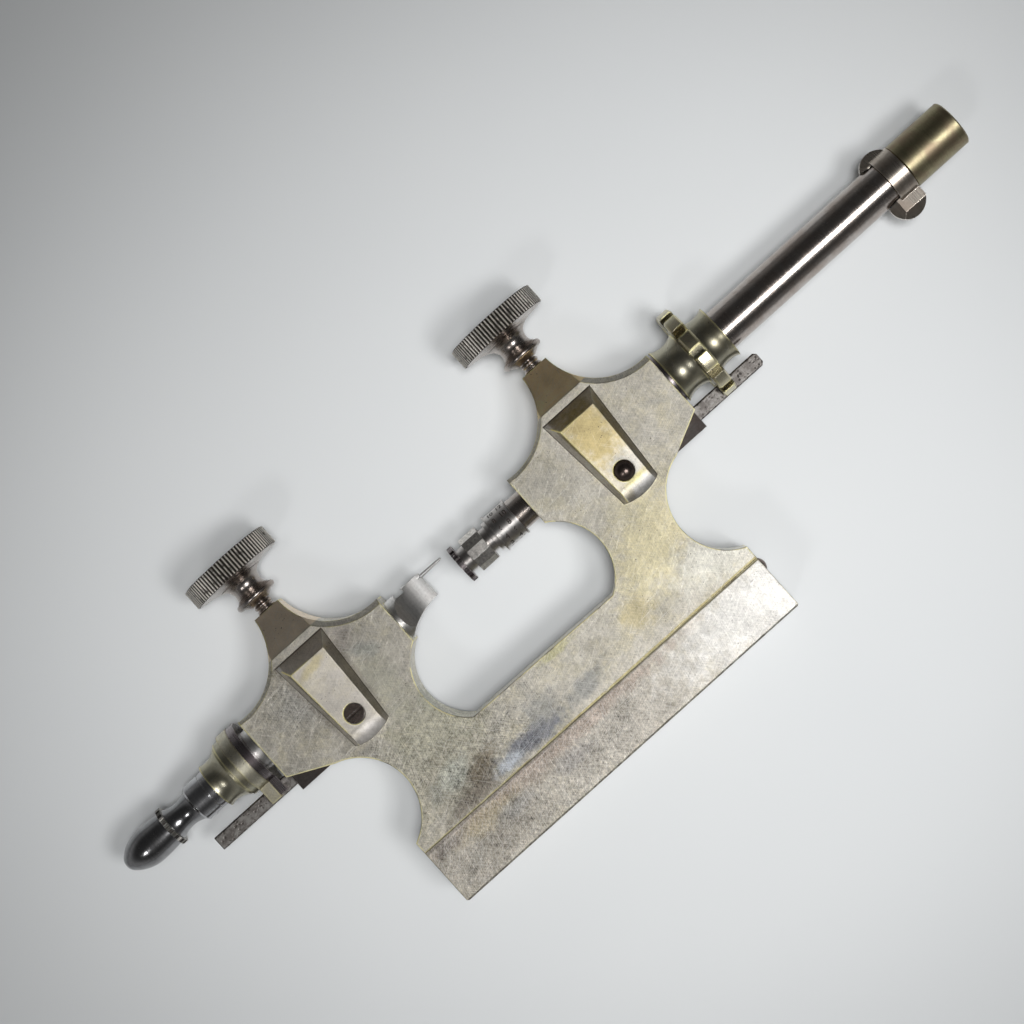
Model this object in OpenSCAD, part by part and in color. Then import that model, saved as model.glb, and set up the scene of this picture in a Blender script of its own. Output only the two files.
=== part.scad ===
// Pivot polishing lathe, lying on its back: +X runs along the spindles towards the long tube,
// +Y towards the thumbscrews and +Z out of the front face. All sizes are in millimetres.

/* [Frame] */
// Distance between the axes of the two heads
head_pitch = 48.4; // [46:0.2:60]
// Offset of the pair of heads from the middle of the foot
head_shift = 0.3; // [-1:0.1:1]
// Thickness of the frame from front to back
frame_t = 8.6; // [8.4:0.1:11]
// Length of each ear that points towards the acorn knob
left_ear_l = 12.7; // [12:0.1:14]
// Length of each ear that points towards the long tube
right_ear_l = 12.2; // [12:0.1:14]
// Height of an ear above the spindle axis
ear_top = 4.15; // [3.9:0.05:4.8]
// Depth of the outer ear's end face below the spindle axis
ear_drop = 5.5; // [5.2:0.1:6]
// Slope of the outer ears' lower edges
ear_slope = 26; // [22:1:30]
// Height of a boss above the spindle axis
boss_h = 13; // [12:0.1:13.3]
// Width of a boss at its top
boss_w = 4.2; // [3.9:0.1:5]
// Thickness of a boss at its top, from front to back
boss_tip_t = 4.1; // [3.9:0.1:5]
// Height above the spindle axis at which the sloping faces of a boss begin
boss_slope_y = 7.4; // [7:0.1:8.5]
// Radius of the sweeps between the ears and a boss
sweep_r = 9.25; // [9:0.05:10]
// Bevel along the sweeps on the side of the long tube
wide_bevel = 0.75; // [0.2:0.05:0.8]
// Bevel along the sweeps on the side of the acorn knob
fine_bevel = 0.45; // [0.1:0.05:0.8]
// Half the width of the window between the columns
window_half = 15.7; // [14.6:0.1:17]
// Depth of the window floor below the spindle axis
window_drop = 16.1; // [15.4:0.1:17]
// How much lower the window floor is at its right end than at its left end
floor_fall = 0.5; // [0:0.1:1]
// Radius of the window's rounded sides
window_r = 7.6; // [7.2:0.1:8]
// Depth of the rounded sides' centre below the spindle axis
window_mid = 10; // [9.6:0.1:10.6]
// Width of a column at its waist
column_w = 9; // [8:0.1:10]
// Radius of the hollow outside each column
waist_r = 8.05; // [7.6:0.05:8.2]
// Depth of that hollow's centre below the spindle axis
waist_drop = 16.2; // [16:0.05:16.6]

/* [Foot] */
// Length of the foot bar
foot_l = 59.2; // [56:0.2:64]
// Height of the foot bar below the seam
foot_h = 8.6; // [7.4:0.1:12]
// Depth of the seam below the spindle axis, at its left end
seam_drop = 25.4; // [24.8:0.1:31]
// How much lower the seam is at its right end than at its left end
seam_fall = 0.4; // [0:0.1:1]
// Easing of the foot bar's edges
foot_ease = 0.25; // [0.1:0.05:0.8]
// Shank radius of the foot screws
foot_screw_r = 1.1; // [0.8:0.05:1.4]
// Distance between neighbouring foot screws
foot_screw_pitch = 20; // [14:0.5:22]
// Head radius of the small screw at the end of the seam
seam_screw_r = 1.1; // [0.7:0.05:1.3]

/* [Cap blocks] */
// Half the width of a cap block at its upper edge
cap_half_top = 4.2; // [3.6:0.1:4.6]
// Half the width of a cap block at its lower edge
cap_half_low = 2.95; // [2.8:0.05:3.6]
// Height of a cap block's upper edge above the spindle axis
cap_top_y = 6.3; // [5.6:0.1:6.7]
// Depth of a cap block's lower edge below the spindle axis
cap_low_y = 9.25; // [8.6:0.05:9.6]
// Rise of a cap block above the frame at its upper end
cap_rise_top = 2.4; // [1.8:0.1:2.8]
// Rise of a cap block above the frame where its lower end rounds off
cap_rise_low = 1.6; // [1.3:0.1:2]
// Length of the steep bevel at the upper end
cap_top_bevel = 2.15; // [1.2:0.05:2.6]
// Lean of the side bevels from upright
cap_side_lean = 25; // [16:1:32]
// Length of the rounded lower end
cap_round = 2.5; // [1.8:0.1:3]
// Height of the small upright lip that the rounding leaves at the lower end
cap_lip = 0.7; // [0.4:0.05:1]
// Offset of the right cap block from its head's axis
right_cap_shift = -0.25; // [-0.4:0.05:0.4]
// Head radius of the cap screws
cap_screw_head_r = 1.36; // [1.1:0.02:1.6]
// Depth of the cap screws below the spindle axis
cap_screw_y = 5.2; // [4.9:0.1:5.4]

/* [Guides] */
// Width of a guide bar
bar_w = 2.1; // [1.6:0.05:2.4]
// Thickness of a guide bar
bar_t = 1.15; // [0.8:0.05:1.4]
// Depth of a guide bar's upper edge below the spindle axis
bar_drop = 5.1; // [5:0.05:5.4]
// Reach of the left guide bar beyond the ear
left_bar_l = 13.4; // [12:0.1:16]
// Reach of the right guide bar beyond the ear
right_bar_l = 11.2; // [8.4:0.1:13]
// Length of a guide bracket along the spindle
bracket_l = 6; // [5.6:0.1:7]
// Depth of a guide bracket's underside below the spindle axis
bracket_drop = 8.25; // [7.8:0.05:8.8]
// Thickness of a guide bracket from front to back
bracket_t = 4.2; // [3.4:0.1:5]

/* [Thumbscrews] */
// Radius of a milled disc
disc_r = 6.9; // [5.6:0.1:8.4]
// Thickness of a milled disc
disc_t = 2.85; // [2.4:0.1:4]
// Number of teeth on a milled disc
disc_teeth = 82; // [40:1:90]
// Depth of the teeth on a milled disc
tooth_h = 0.26; // [0.1:0.02:0.4]
// Gap between a boss and the bead above it
bead_gap = 1.4; // [0.6:0.1:3]
// Radius of the bead
bead_r = 3.15; // [2.5:0.1:3.8]
// Height of the bead
bead_h = 1.75; // [1.4:0.05:2.2]
// Radius of the neck at its waist
neck_r = 2.15; // [1.7:0.05:2.3]
// Length of the neck between bead and disc
neck_l = 3; // [2.6:0.05:4.5]
// Outer radius of the thread
thread_r = 1.4; // [1.1:0.05:1.6]
// Pitch of the thread
thread_pitch = 0.7; // [0.5:0.05:0.9]
// How far a thumbscrew backs out
screw_travel = 2.1; // [1:0.1:2.4]
// Radius of a clamp shoe
shoe_r = 1.7; // [1.5:0.05:1.8]
// Height of a clamp shoe above the sleeve
shoe_h = 2.75; // [1.6:0.05:3]

/* [Left runner] */
// Radius of the sleeves in both heads
sleeve_r = 3.1; // [2.9:0.05:3.2]
// Length of sleeve showing between ear and arm flange
sleeve_show = 1.25; // [0.6:0.1:3]
// Thickness of the arm flange
flange_t = 1.2; // [0.8:0.05:1.6]
// Radius of the arm flange
flange_r = 4.8; // [4.2:0.05:4.9]
// Thickness of the guide arm
arm_t = 1.65; // [1.4:0.05:2.6]
// Radius of the guide arm's round part
arm_r = 4.9; // [4.4:0.1:5]
// Depth of the guide arm's tip below the spindle axis
arm_drop = 7; // [6.6:0.1:7.1]
// Width of the guide arm's forked tail
arm_tail_w = 4.4; // [3.6:0.1:5]
// Length of the left hub
hub_l = 4.45; // [3.6:0.1:6]
// Radius of the left hub at its outer end
hub_r = 3.5; // [3.1:0.05:3.9]
// Length of the knob ferrule
ferrule_l = 3.8; // [2.8:0.1:5]
// Radius of the knob ferrule
ferrule_r = 2.85; // [2.5:0.05:3.2]
// Length of the acorn knob's neck
acorn_neck_l = 3.95; // [3:0.05:5.5]
// Radius of the acorn knob's neck
acorn_neck_r = 1.95; // [1.6:0.05:2.1]
// Thickness of the milled ring
ring_t = 0.7; // [0.5:0.05:1.2]
// Radius of the milled ring
ring_r = 2.95; // [2.8:0.05:3.4]
// Length of the acorn itself
acorn_l = 7.85; // [6:0.05:10]
// Largest radius of the acorn
acorn_r = 2.75; // [2.5:0.05:3.1]
// Radius of the acorn's rounded tip
acorn_tip_r = 1.7; // [1.3:0.05:1.9]
// Length of the nose inside the window
nose_l = 6.1; // [5:0.05:8]
// Radius of the draw rod
draw_rod_r = 1.2; // [0.9:0.05:1.4]
// Radius of the needle
needle_r = 0.28; // [0.2:0.02:0.4]
// Length of needle standing out of the nose
needle_l = 3.65; // [2.5:0.05:4.4]
// Height of the needle above the spindle axis
needle_y = 2.53; // [2.3:0.01:2.6]

/* [Right spindle] */
// Radius of the spindle rod
rod_r = 2.4; // [2.1:0.05:2.5]
// Length of rod showing between drum and ear
rod_show = 2.38; // [1.5:0.02:5]
// Thickness of the bed wheel
bed_t = 0.73; // [0.5:0.01:1.2]
// Radius of the bed wheel
bed_r = 2.85; // [2.5:0.05:2.9]
// Width of the gaps between the lugs of the bed wheel
bed_gap_w = 0.5; // [0.3:0.05:0.6]
// Length of the drum's first neck
drum_neck_l = 1.22; // [0.8:0.01:2]
// Radius of the drum's necks
drum_neck_r = 1.85; // [1.6:0.05:2.2]
// Length of the faceted part of the drum
facet_l = 2.83; // [2:0.01:4]
// Distance between opposite facets of the drum
facet_w = 5.28; // [5:0.02:5.6]
// Length of the drum's second neck
drum_waist_l = 0.94; // [0.8:0.02:2]
// Length of the collar before the marked band
drum_collar_l = 0.6; // [0.4:0.05:1]
// Radius of that collar
drum_collar_r = 2.3; // [2.1:0.05:2.6]
// Radius of the raised rings beside the marked band
drum_ring_r = 2.94; // [2.85:0.01:3.05]
// Length of the first ring
first_ring_l = 0.2; // [0.16:0.02:0.4]
// Length of the marked band
band_l = 3.22; // [2.4:0.02:4.5]
// Radius of the marked band
band_r = 2.72; // [2.5:0.02:2.8]
// Length of the last ring
last_ring_l = 0.28; // [0.2:0.02:0.5]
// Thickness of the right sleeve's flange
collar_t = 0.42; // [0.2:0.02:0.6]
// Radius of the right sleeve's flange
collar_r = 3.9; // [3.5:0.05:4.4]
// Length of the index hub
index_hub_l = 9.1; // [8.6:0.1:11]
// Radius of the index hub at its ends
index_hub_r = 4.1; // [3.9:0.05:4.5]
// Radius of the index hub at its two waists
index_waist_r = 3.7; // [3.3:0.05:3.8]
// Radius of the index wheel
wheel_r = 7.1; // [6:0.05:7.4]
// Thickness of the index wheel
wheel_t = 2.1; // [1.8:0.1:3]
// Distance from the hub's inner end to the index wheel
wheel_x = 3.8; // [3.2:0.1:4.2]
// Number of places round the index wheel, the drum and the bed wheel
places = 12; // [8:4:12]
// Radius of the tube
tube_r = 3; // [2.7:0.05:3.4]
// Length of the tube
tube_l = 29.6; // [20:0.1:40]
// Radius of the bore of the tube
tube_bore_r = 2; // [1.6:0.05:2.2]
// Length of the wing collar's seat
wing_l = 3; // [2.8:0.1:5]
// Radius of the wing collar
wing_r = 3.55; // [3.4:0.05:3.9]
// Radius of the rounded ears of the wing collar
wing_ear_r = 2.58; // [2.4:0.02:2.9]
// Reach of the long ear from the spindle axis
wing_reach = 6.25; // [5.8:0.05:6.8]
// Reach of the short ear from the spindle axis
wing_short = 4.5; // [4.2:0.05:5]
// Length of the end barrel
barrel_l = 9.1; // [7:0.1:14]
// Radius of the end barrel
barrel_r = 3.45; // [3.2:0.05:3.8]

/* [Fits] */
// Radial clearance of everything that turns or slides
run_fit = 0.04; // [0.02:0.01:0.08]
// Radial clearance of screws and rods in the pieces they hold
fixed_fit = 0.02; // [0.01:0.01:0.05]
// Height of the lowest wheel above the surface the tool lies on
rest_gap = 0.3; // [0.1:0.1:1]

/* [Hidden] */
$fn = 96;

nickel = [0.72, 0.70, 0.64];
worn_nickel = [0.74, 0.66, 0.42];
steel = [0.55, 0.54, 0.53];
dark_steel = [0.2, 0.19, 0.19];
brass = [0.78, 0.63, 0.32];

// A little more than nothing, so that a cut runs cleanly past a face
past = 0.5;
// Height of the spindle axis above the surface the tool lies on
axis_z = max(disc_r, wheel_r) + rest_gap;
front_z = axis_z + frame_t / 2;
rear_z = axis_z - frame_t / 2;
left_head_x = head_shift - head_pitch / 2;
right_head_x = head_shift + head_pitch / 2;
left_face_x = left_head_x - left_ear_l;
left_inner_x = left_head_x + right_ear_l;
right_inner_x = right_head_x - left_ear_l;
right_face_x = right_head_x + right_ear_l;
sweep_y = ear_top + sweep_r;
sweep_x = boss_w / 2 + sqrt(pow(sweep_r, 2) - pow(boss_h - sweep_y, 2));
hollow_x = window_half + column_w + waist_r;

// Places along the left runner, from the ear outwards
flange_x = left_face_x - sleeve_show;
arm_x = flange_x - flange_t;
hub_x = arm_x - arm_t;
ferrule_x = hub_x - hub_l;
neck_x = ferrule_x - ferrule_l;
ring_x = neck_x - acorn_neck_l;
acorn_x = ring_x - ring_t;
left_tip_x = acorn_x - acorn_l;
nose_x = left_inner_x + nose_l;

// Places along the right spindle: the drum from the ear inwards, the rest outwards
drum_end_x = right_inner_x - rod_show;
band_x = drum_end_x - last_ring_l - band_l;
collar_x = band_x - first_ring_l - drum_collar_l;
facet_x = collar_x - drum_waist_l - facet_l;
drum_x = facet_x - drum_neck_l;
bed_x = drum_x - bed_t;
hub_start_x = right_face_x + run_fit + collar_t + run_fit;
wheel_start_x = hub_start_x + wheel_x;
tube_x = hub_start_x + index_hub_l;
wing_x = tube_x + tube_l;
barrel_x = wing_x + wing_l;
right_tip_x = barrel_x + barrel_l;

disc_y = boss_h + bead_gap + bead_h + neck_l;
disc_top_y = disc_y + disc_t;
foot_low_y = -seam_drop - foot_h;
// The origin is the middle of the whole tool, on the surface it lies on
mid_x = (left_tip_x + right_tip_x) / 2;
mid_y = (foot_low_y + disc_top_y) / 2;

bore_r = sleeve_r + run_fit;
shoe_low_y = sleeve_r + run_fit;
shoe_top_y = sleeve_r + shoe_h;
thread_start_y = shoe_top_y + screw_travel + 0.2;
cap_screw_r = 0.75;
cap_screw_l = 4.5;
small_screw_r = 0.6;
small_head_r = 1.1;
pad_half = 4.1;
pad_bevel = 0.5;
seam_screw_y = -seam_drop - seam_fall - seam_screw_r;
bracket_top_y = -bar_drop + 0.7;
bracket_inset = 0.25;
bracket_screw_in = bracket_l - 1.7;
bracket_screw_y = -6.4;
bar_seat = 3;
bar_bevel = 0.18;
notch_w = bar_t + 0.24;
notch_low_r = bar_drop - 0.25;
spigot_r = 2.3;
barrel_neck_r = 2.6;

// Puts the origin at the middle of the tool
module placed() {
    translate([-mid_x, -mid_y, 0]) children();
}

// Stands a turned shape on the spindle axis, its own Z along X
module along_x(x = 0) {
    translate([x, 0, axis_z]) rotate([0, 90, 0]) children();
}

// Stands a turned shape on a head axis, its own Z along Y
module along_y(x, y = 0) {
    translate([x, y, axis_z]) rotate([-90, 0, 0]) children();
}

// Turns a half profile, drawn as radius and length
module turned() {
    rotate_extrude() children();
}

// Half profile that stays full at the start and rounds down to a smaller end
module shoulder(full_r, end_r, length) {
    fall = full_r - end_r;
    round_r = (length * length + fall * fall) / (2 * fall);
    intersection() {
        translate([full_r - round_r, 0]) circle(round_r, $fn = 180);
        square([full_r, length]);
    }
}

// Half profile of a screw head's round top
module dome(r, h) {
    round_r = (r * r + h * h) / (2 * h);
    intersection() {
        translate([0, h - round_r]) circle(round_r);
        square([r, h]);
    }
}

// Half profile with a hollow waist between two equal ends
module waist(end_r, waist_r, length) {
    fall = end_r - waist_r;
    hollow_r = (length * length / 4 + fall * fall) / (2 * fall);
    difference() {
        square([end_r, length]);
        translate([waist_r + hollow_r, length / 2]) circle(hollow_r, $fn = 180);
    }
}

// Round outline with straight teeth all the way round
module toothed(r, teeth, depth) {
    polygon([
        for (i = [0 : teeth - 1], side = [0, 1])
            let (a = 360 * (i + side / 2) / teeth, tooth_r = side == 0 ? r : r - depth)
            [tooth_r * cos(a), tooth_r * sin(a)]
    ]);
}

// A hole through the frame, opened out by a bevel at its front and rear edge
module bevelled_hole(r, bevel) {
    translate([0, 0, rear_z - past]) cylinder(r = r, h = frame_t + 2 * past, $fn = 180);
    translate([0, 0, front_z - bevel]) cylinder(r1 = r, r2 = r + 2 * bevel, h = 2 * bevel, $fn = 180);
    translate([0, 0, rear_z - bevel]) cylinder(r1 = r + 2 * bevel, r2 = r, h = 2 * bevel, $fn = 180);
}

// Outline of the frame, with the window and the hollows cut and the sweeps still to be cut
module frame_outline() {
    half_l = foot_l / 2;
    rise = tan(ear_slope);
    difference() {
        polygon([
            [-half_l, -seam_drop], [half_l, -seam_drop - seam_fall],
            [half_l, -ear_drop - rise * (right_face_x - half_l)], [right_face_x, -ear_drop],
            [right_face_x, ear_top + past],
            [right_head_x + boss_w / 2, boss_h], [right_head_x - boss_w / 2, boss_h],
            [right_inner_x, ear_top + past], [right_inner_x, -window_mid],
            [left_inner_x, -window_mid], [left_inner_x, ear_top + past],
            [left_head_x + boss_w / 2, boss_h], [left_head_x - boss_w / 2, boss_h],
            [left_face_x, ear_top + past],
            [left_face_x, -ear_drop], [-half_l, -ear_drop + rise * (half_l + left_face_x)]
        ]);
        for (side = [1, -1]) translate([side * hollow_x, -waist_drop]) circle(waist_r, $fn = 180);
        window_outline();
    }
}

// Outline of the window below the inner ears: round sides and a straight, slightly falling floor
module window_outline() {
    centre_x = window_half - window_r;
    intersection() {
        union() {
            for (side = [1, -1]) translate([side * centre_x, -window_mid]) circle(window_r, $fn = 180);
            translate([-centre_x, -window_mid - window_r]) square([2 * centre_x, 2 * window_r]);
        }
        polygon([
            [-window_half - 1, -window_drop], [window_half + 1, -window_drop - floor_fall],
            [window_half + 1, 0], [-window_half - 1, 0]
        ]);
    }
}

// One head's cuts: the sweeps, the slopes of the boss and the bores
module head_cuts(x, cap_shift) {
    translate([x, 0, 0]) {
        translate([sweep_x, sweep_y, 0]) bevelled_hole(sweep_r, wide_bevel);
        translate([-sweep_x, sweep_y, 0]) bevelled_hole(sweep_r, fine_bevel);
        boss_slopes();
        head_bores(cap_shift);
    }
}

// The sloping faces that thin a boss towards its top, front and rear
module boss_slopes() {
    drop = (frame_t - boss_tip_t) / 2;
    rise = boss_h - boss_slope_y;
    for (face = [1, -1])
        translate([-left_ear_l, 0, axis_z]) rotate([90, 0, 90]) linear_extrude(left_ear_l + right_ear_l)
            polygon([
                [boss_slope_y, face * frame_t / 2], [boss_h, face * (frame_t / 2 - drop)],
                [boss_h + rise, face * (frame_t / 2 - 2 * drop)],
                [boss_h + rise, face * frame_t], [boss_slope_y, face * frame_t]
            ]);
}

// The spindle bore, the shoe bore, the thread and the cap screw's hole of one head
module head_bores(cap_shift) {
    along_x(-left_ear_l - past) cylinder(r = bore_r, h = left_ear_l + right_ear_l + 2 * past);
    along_y(0) cylinder(r = shoe_r + run_fit, h = thread_start_y);
    along_y(0) cylinder(r = thread_r + run_fit, h = boss_h + past);
    translate([cap_shift, -cap_screw_y, front_z - cap_screw_l - 0.2])
        cylinder(r = cap_screw_r + fixed_fit, h = cap_screw_l + past);
}

// Seat of the guide bracket in the lower corner of an outer ear that ends at x = 0, and the hole
// and counterbore of its screw from the rear
module bracket_pocket() {
    translate([-bracket_l, -bracket_drop - past, axis_z - bracket_t / 2])
        cube([bracket_l + past, bracket_top_y + bracket_drop + past, bracket_t]);
    translate([-bracket_screw_in, bracket_screw_y, rear_z - past])
        cylinder(r = small_screw_r + fixed_fit, h = frame_t / 2 + past);
    translate([-bracket_screw_in, bracket_screw_y, rear_z - past])
        cylinder(r = small_head_r + fixed_fit, h = 0.8 + past);
}

// The pad on the rear of a head, on which the tool lies
module rear_pad() {
    pad_l = cap_top_y + cap_low_y;
    intersection() {
        translate([0, -cap_low_y, 0]) rotate([90, 0, 180]) linear_extrude(pad_l)
            pad_profile(pad_half);
        translate([-pad_half, (cap_top_y - cap_low_y) / 2, 0]) rotate([90, 0, 90])
            linear_extrude(2 * pad_half) pad_profile(pad_l / 2);
    }
}

// Cross-section of the pad, bevelled where it meets the table
module pad_profile(half) {
    polygon([
        [-half + pad_bevel, 0], [half - pad_bevel, 0], [half, pad_bevel],
        [half, rear_z + past], [-half, rear_z + past], [-half, pad_bevel]
    ]);
}

module frame_casting() {
    placed() color(nickel) difference() {
        union() {
            translate([0, 0, rear_z]) linear_extrude(frame_t) frame_outline();
            for (x = [left_head_x, right_head_x]) translate([x, 0, 0]) rear_pad();
        }
        head_cuts(left_head_x, 0);
        head_cuts(right_head_x, right_cap_shift);
        translate([left_face_x, 0, 0]) mirror([1, 0, 0]) bracket_pocket();
        translate([right_face_x, 0, 0]) bracket_pocket();
        foot_screw_set(fixed_fit);
    }
}

// The three countersunk screws that hold the foot, or their holes when a clearance is given
module foot_screw_set(clear) {
    head_r = foot_screw_r * 1.8;
    into_rail = 4;
    for (i = [-1, 0, 1]) translate([i * foot_screw_pitch, foot_low_y, 0]) along_y(0) {
        cylinder(r = foot_screw_r + clear, h = foot_h + into_rail + clear);
        cylinder(r1 = head_r + clear, r2 = foot_screw_r + clear, h = head_r - foot_screw_r);
    }
}

module foot_bar() {
    placed() color(nickel) difference() {
        intersection() {
            translate([-foot_l / 2, 0, 0]) rotate([90, 0, 90]) linear_extrude(foot_l)
                eased_box([foot_low_y, 0], [-seam_drop + 1, front_z], foot_ease);
            linear_extrude(front_z) polygon([
                [foot_ease - foot_l / 2, foot_low_y], [foot_l / 2 - foot_ease, foot_low_y],
                [foot_l / 2, foot_low_y + foot_ease], [foot_l / 2, -seam_drop - seam_fall],
                [-foot_l / 2, -seam_drop], [-foot_l / 2, foot_low_y + foot_ease]
            ]);
        }
        foot_screw_set(fixed_fit);
        translate([foot_l / 2 - 5, seam_screw_y, axis_z]) rotate([0, 90, 0])
            cylinder(r = 0.55 + fixed_fit, h = 5 + past);
    }
}

// Rectangle from one corner to the other with small bevels at its corners
module eased_box(low, high, ease) {
    polygon([
        [low[0] + ease, low[1]], [high[0] - ease, low[1]], [high[0], low[1] + ease],
        [high[0], high[1] - ease], [high[0] - ease, high[1]], [low[0] + ease, high[1]],
        [low[0], high[1] - ease], [low[0], low[1] + ease]
    ]);
}

module foot_screws() {
    slot_w = 0.5;
    slot_d = 0.45;
    placed() color(dark_steel) difference() {
        foot_screw_set(0);
        for (i = [-1, 0, 1])
            translate([i * foot_screw_pitch - 3, foot_low_y - past, axis_z - slot_w / 2])
                cube([6, slot_d + past, slot_w]);
    }
}

module seam_screw() {
    placed() color(dark_steel) translate([foot_l / 2, seam_screw_y, axis_z]) rotate([0, 90, 0]) {
        translate([0, 0, -4.5]) cylinder(r = 0.55, h = 4.6);
        turned() dome(seam_screw_r, 0.55);
    }
}

// A bevelled cap block on the front of a head, bored for its screw
module cap_block(x) {
    cap_l = cap_top_y + cap_low_y;
    fall = cap_rise_low - cap_lip;
    round_r = (cap_round * cap_round + fall * fall) / (2 * fall);
    taper = atan((cap_half_top - cap_half_low) / cap_l);
    bulge_r = 7.2;
    translate([x, 0, front_z]) difference() {
        intersection() {
            translate([-cap_half_top, 0, 0]) rotate([90, 0, 90]) linear_extrude(2 * cap_half_top)
                intersection() {
                    polygon([
                        [-cap_low_y, 0], [cap_top_y, 0], [cap_top_y - cap_top_bevel, cap_rise_top],
                        [-cap_low_y + cap_round, cap_rise_low], [-cap_low_y, cap_rise_low]
                    ]);
                    union() {
                        translate([-cap_low_y + cap_round, 0]) square([cap_l, 2 * cap_rise_top]);
                        translate([-cap_low_y + cap_round, cap_rise_low - round_r]) circle(round_r);
                    }
                }
            // the lower edge bulges a little
            union() {
                translate([-cap_half_top, bulge_r - cap_low_y, -past]) cube([2 * cap_half_top, cap_l, 4]);
                translate([0, bulge_r - cap_low_y, -past]) cylinder(r = bulge_r, h = 4);
            }
        }
        for (side = [0, 1]) mirror([side, 0, 0])
            translate([cap_half_top, cap_top_y, 0]) rotate(-taper) rotate([0, -cap_side_lean, 0])
                translate([0, -2 * cap_l, -3]) cube([6, 3 * cap_l, 12]);
        translate([0, -cap_screw_y, -past]) cylinder(r = cap_screw_r + fixed_fit, h = 4);
        translate([0, -cap_screw_y, 0.75]) cylinder(r = cap_screw_head_r + 0.05, h = 4);
    }
}

module left_cap_block() {
    placed() color(nickel) cap_block(left_head_x);
}

module right_cap_block() {
    placed() color(worn_nickel) cap_block(right_head_x + right_cap_shift);
}

module left_cap_screw() {
    head_h = 0.95;
    placed() color(dark_steel) translate([left_head_x, -cap_screw_y, front_z]) difference() {
        union() {
            translate([0, 0, -cap_screw_l]) cylinder(r = cap_screw_r, h = cap_screw_l + 0.8);
            translate([0, 0, 0.75]) cylinder(r = cap_screw_head_r, h = head_h);
        }
        translate([-2, -0.19, 0.75 + head_h - 0.35]) cube([4, 0.38, 1]);
    }
}

module right_cap_screw() {
    placed() color(dark_steel) translate([right_head_x + right_cap_shift, -cap_screw_y, front_z]) {
        translate([0, 0, -cap_screw_l]) cylinder(r = cap_screw_r, h = cap_screw_l + 0.8);
        translate([0, 0, 0.75]) cylinder(r = cap_screw_head_r, h = 0.9);
        translate([0, 0, 1.64]) turned() dome(cap_screw_head_r, 0.7);
    }
}

// The dark block in the corner of an outer ear that ends at x = 0, slotted for the guide bar
module guide_bracket() {
    difference() {
        translate([-bracket_l, -bracket_drop, axis_z - bracket_t / 2])
            cube([bracket_l - bracket_inset, bracket_drop + bracket_top_y, bracket_t]);
        translate([-bar_seat, -bar_drop - bar_w, axis_z - bar_t / 2])
            cube([bar_seat + past, bar_w, bar_t]);
        translate([-bracket_screw_in, bracket_screw_y, axis_z - bracket_t])
            cylinder(r = small_screw_r + fixed_fit, h = bracket_t * 1.3);
    }
}

module left_guide_bracket() {
    placed() color(dark_steel) translate([left_face_x, 0, 0]) mirror([1, 0, 0]) guide_bracket();
}

module right_guide_bracket() {
    placed() color(dark_steel) translate([right_face_x, 0, 0]) guide_bracket();
}

module bracket_screws() {
    head_h = 0.65;
    placed() color(dark_steel) for (x = [left_face_x + bracket_screw_in, right_face_x - bracket_screw_in])
        translate([x, bracket_screw_y, rear_z + 0.1]) difference() {
            union() {
                cylinder(r = small_screw_r, h = frame_t / 2 - 0.1);
                cylinder(r = small_head_r, h = head_h);
            }
            translate([-2, -0.15, -past]) cube([4, 0.3, 0.25 + past]);
        }
}

// A flat guide bar standing out of an ear that ends at x = 0, its long edges and free end bevelled
module guide_bar(reach, end_bevel) {
    low_y = -bar_drop - bar_w;
    intersection() {
        translate([-bar_seat, 0, axis_z]) rotate([90, 0, 90]) linear_extrude(bar_seat + reach)
            eased_box([low_y, -bar_t / 2], [-bar_drop, bar_t / 2], bar_bevel);
        translate([0, 0, axis_z - bar_t]) linear_extrude(2 * bar_t) polygon([
            [-bar_seat, low_y], [reach - end_bevel, low_y], [reach, low_y + end_bevel],
            [reach, -bar_drop - end_bevel], [reach - end_bevel, -bar_drop], [-bar_seat, -bar_drop]
        ]);
    }
}

module left_guide_bar() {
    placed() color(steel) translate([left_face_x, 0, 0]) mirror([1, 0, 0]) guide_bar(left_bar_l, 0.05);
}

module right_guide_bar() {
    placed() color(steel) translate([right_face_x, 0, 0]) guide_bar(right_bar_l, 0.4);
}

// The shoe that a thumbscrew presses on its sleeve, hollowed to fit it
module clamp_shoe(x) {
    color(brass) difference() {
        along_y(x) cylinder(r = shoe_r, h = shoe_top_y);
        along_x(x - 2 * shoe_r) cylinder(r = shoe_low_y, h = 4 * shoe_r);
        along_y(x, shoe_top_y - 0.6) cylinder(r = 0.7, h = 0.6 + past);
    }
}

module left_clamp_shoe() {
    placed() clamp_shoe(left_head_x);
}

module right_clamp_shoe() {
    placed() clamp_shoe(right_head_x);
}

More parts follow.
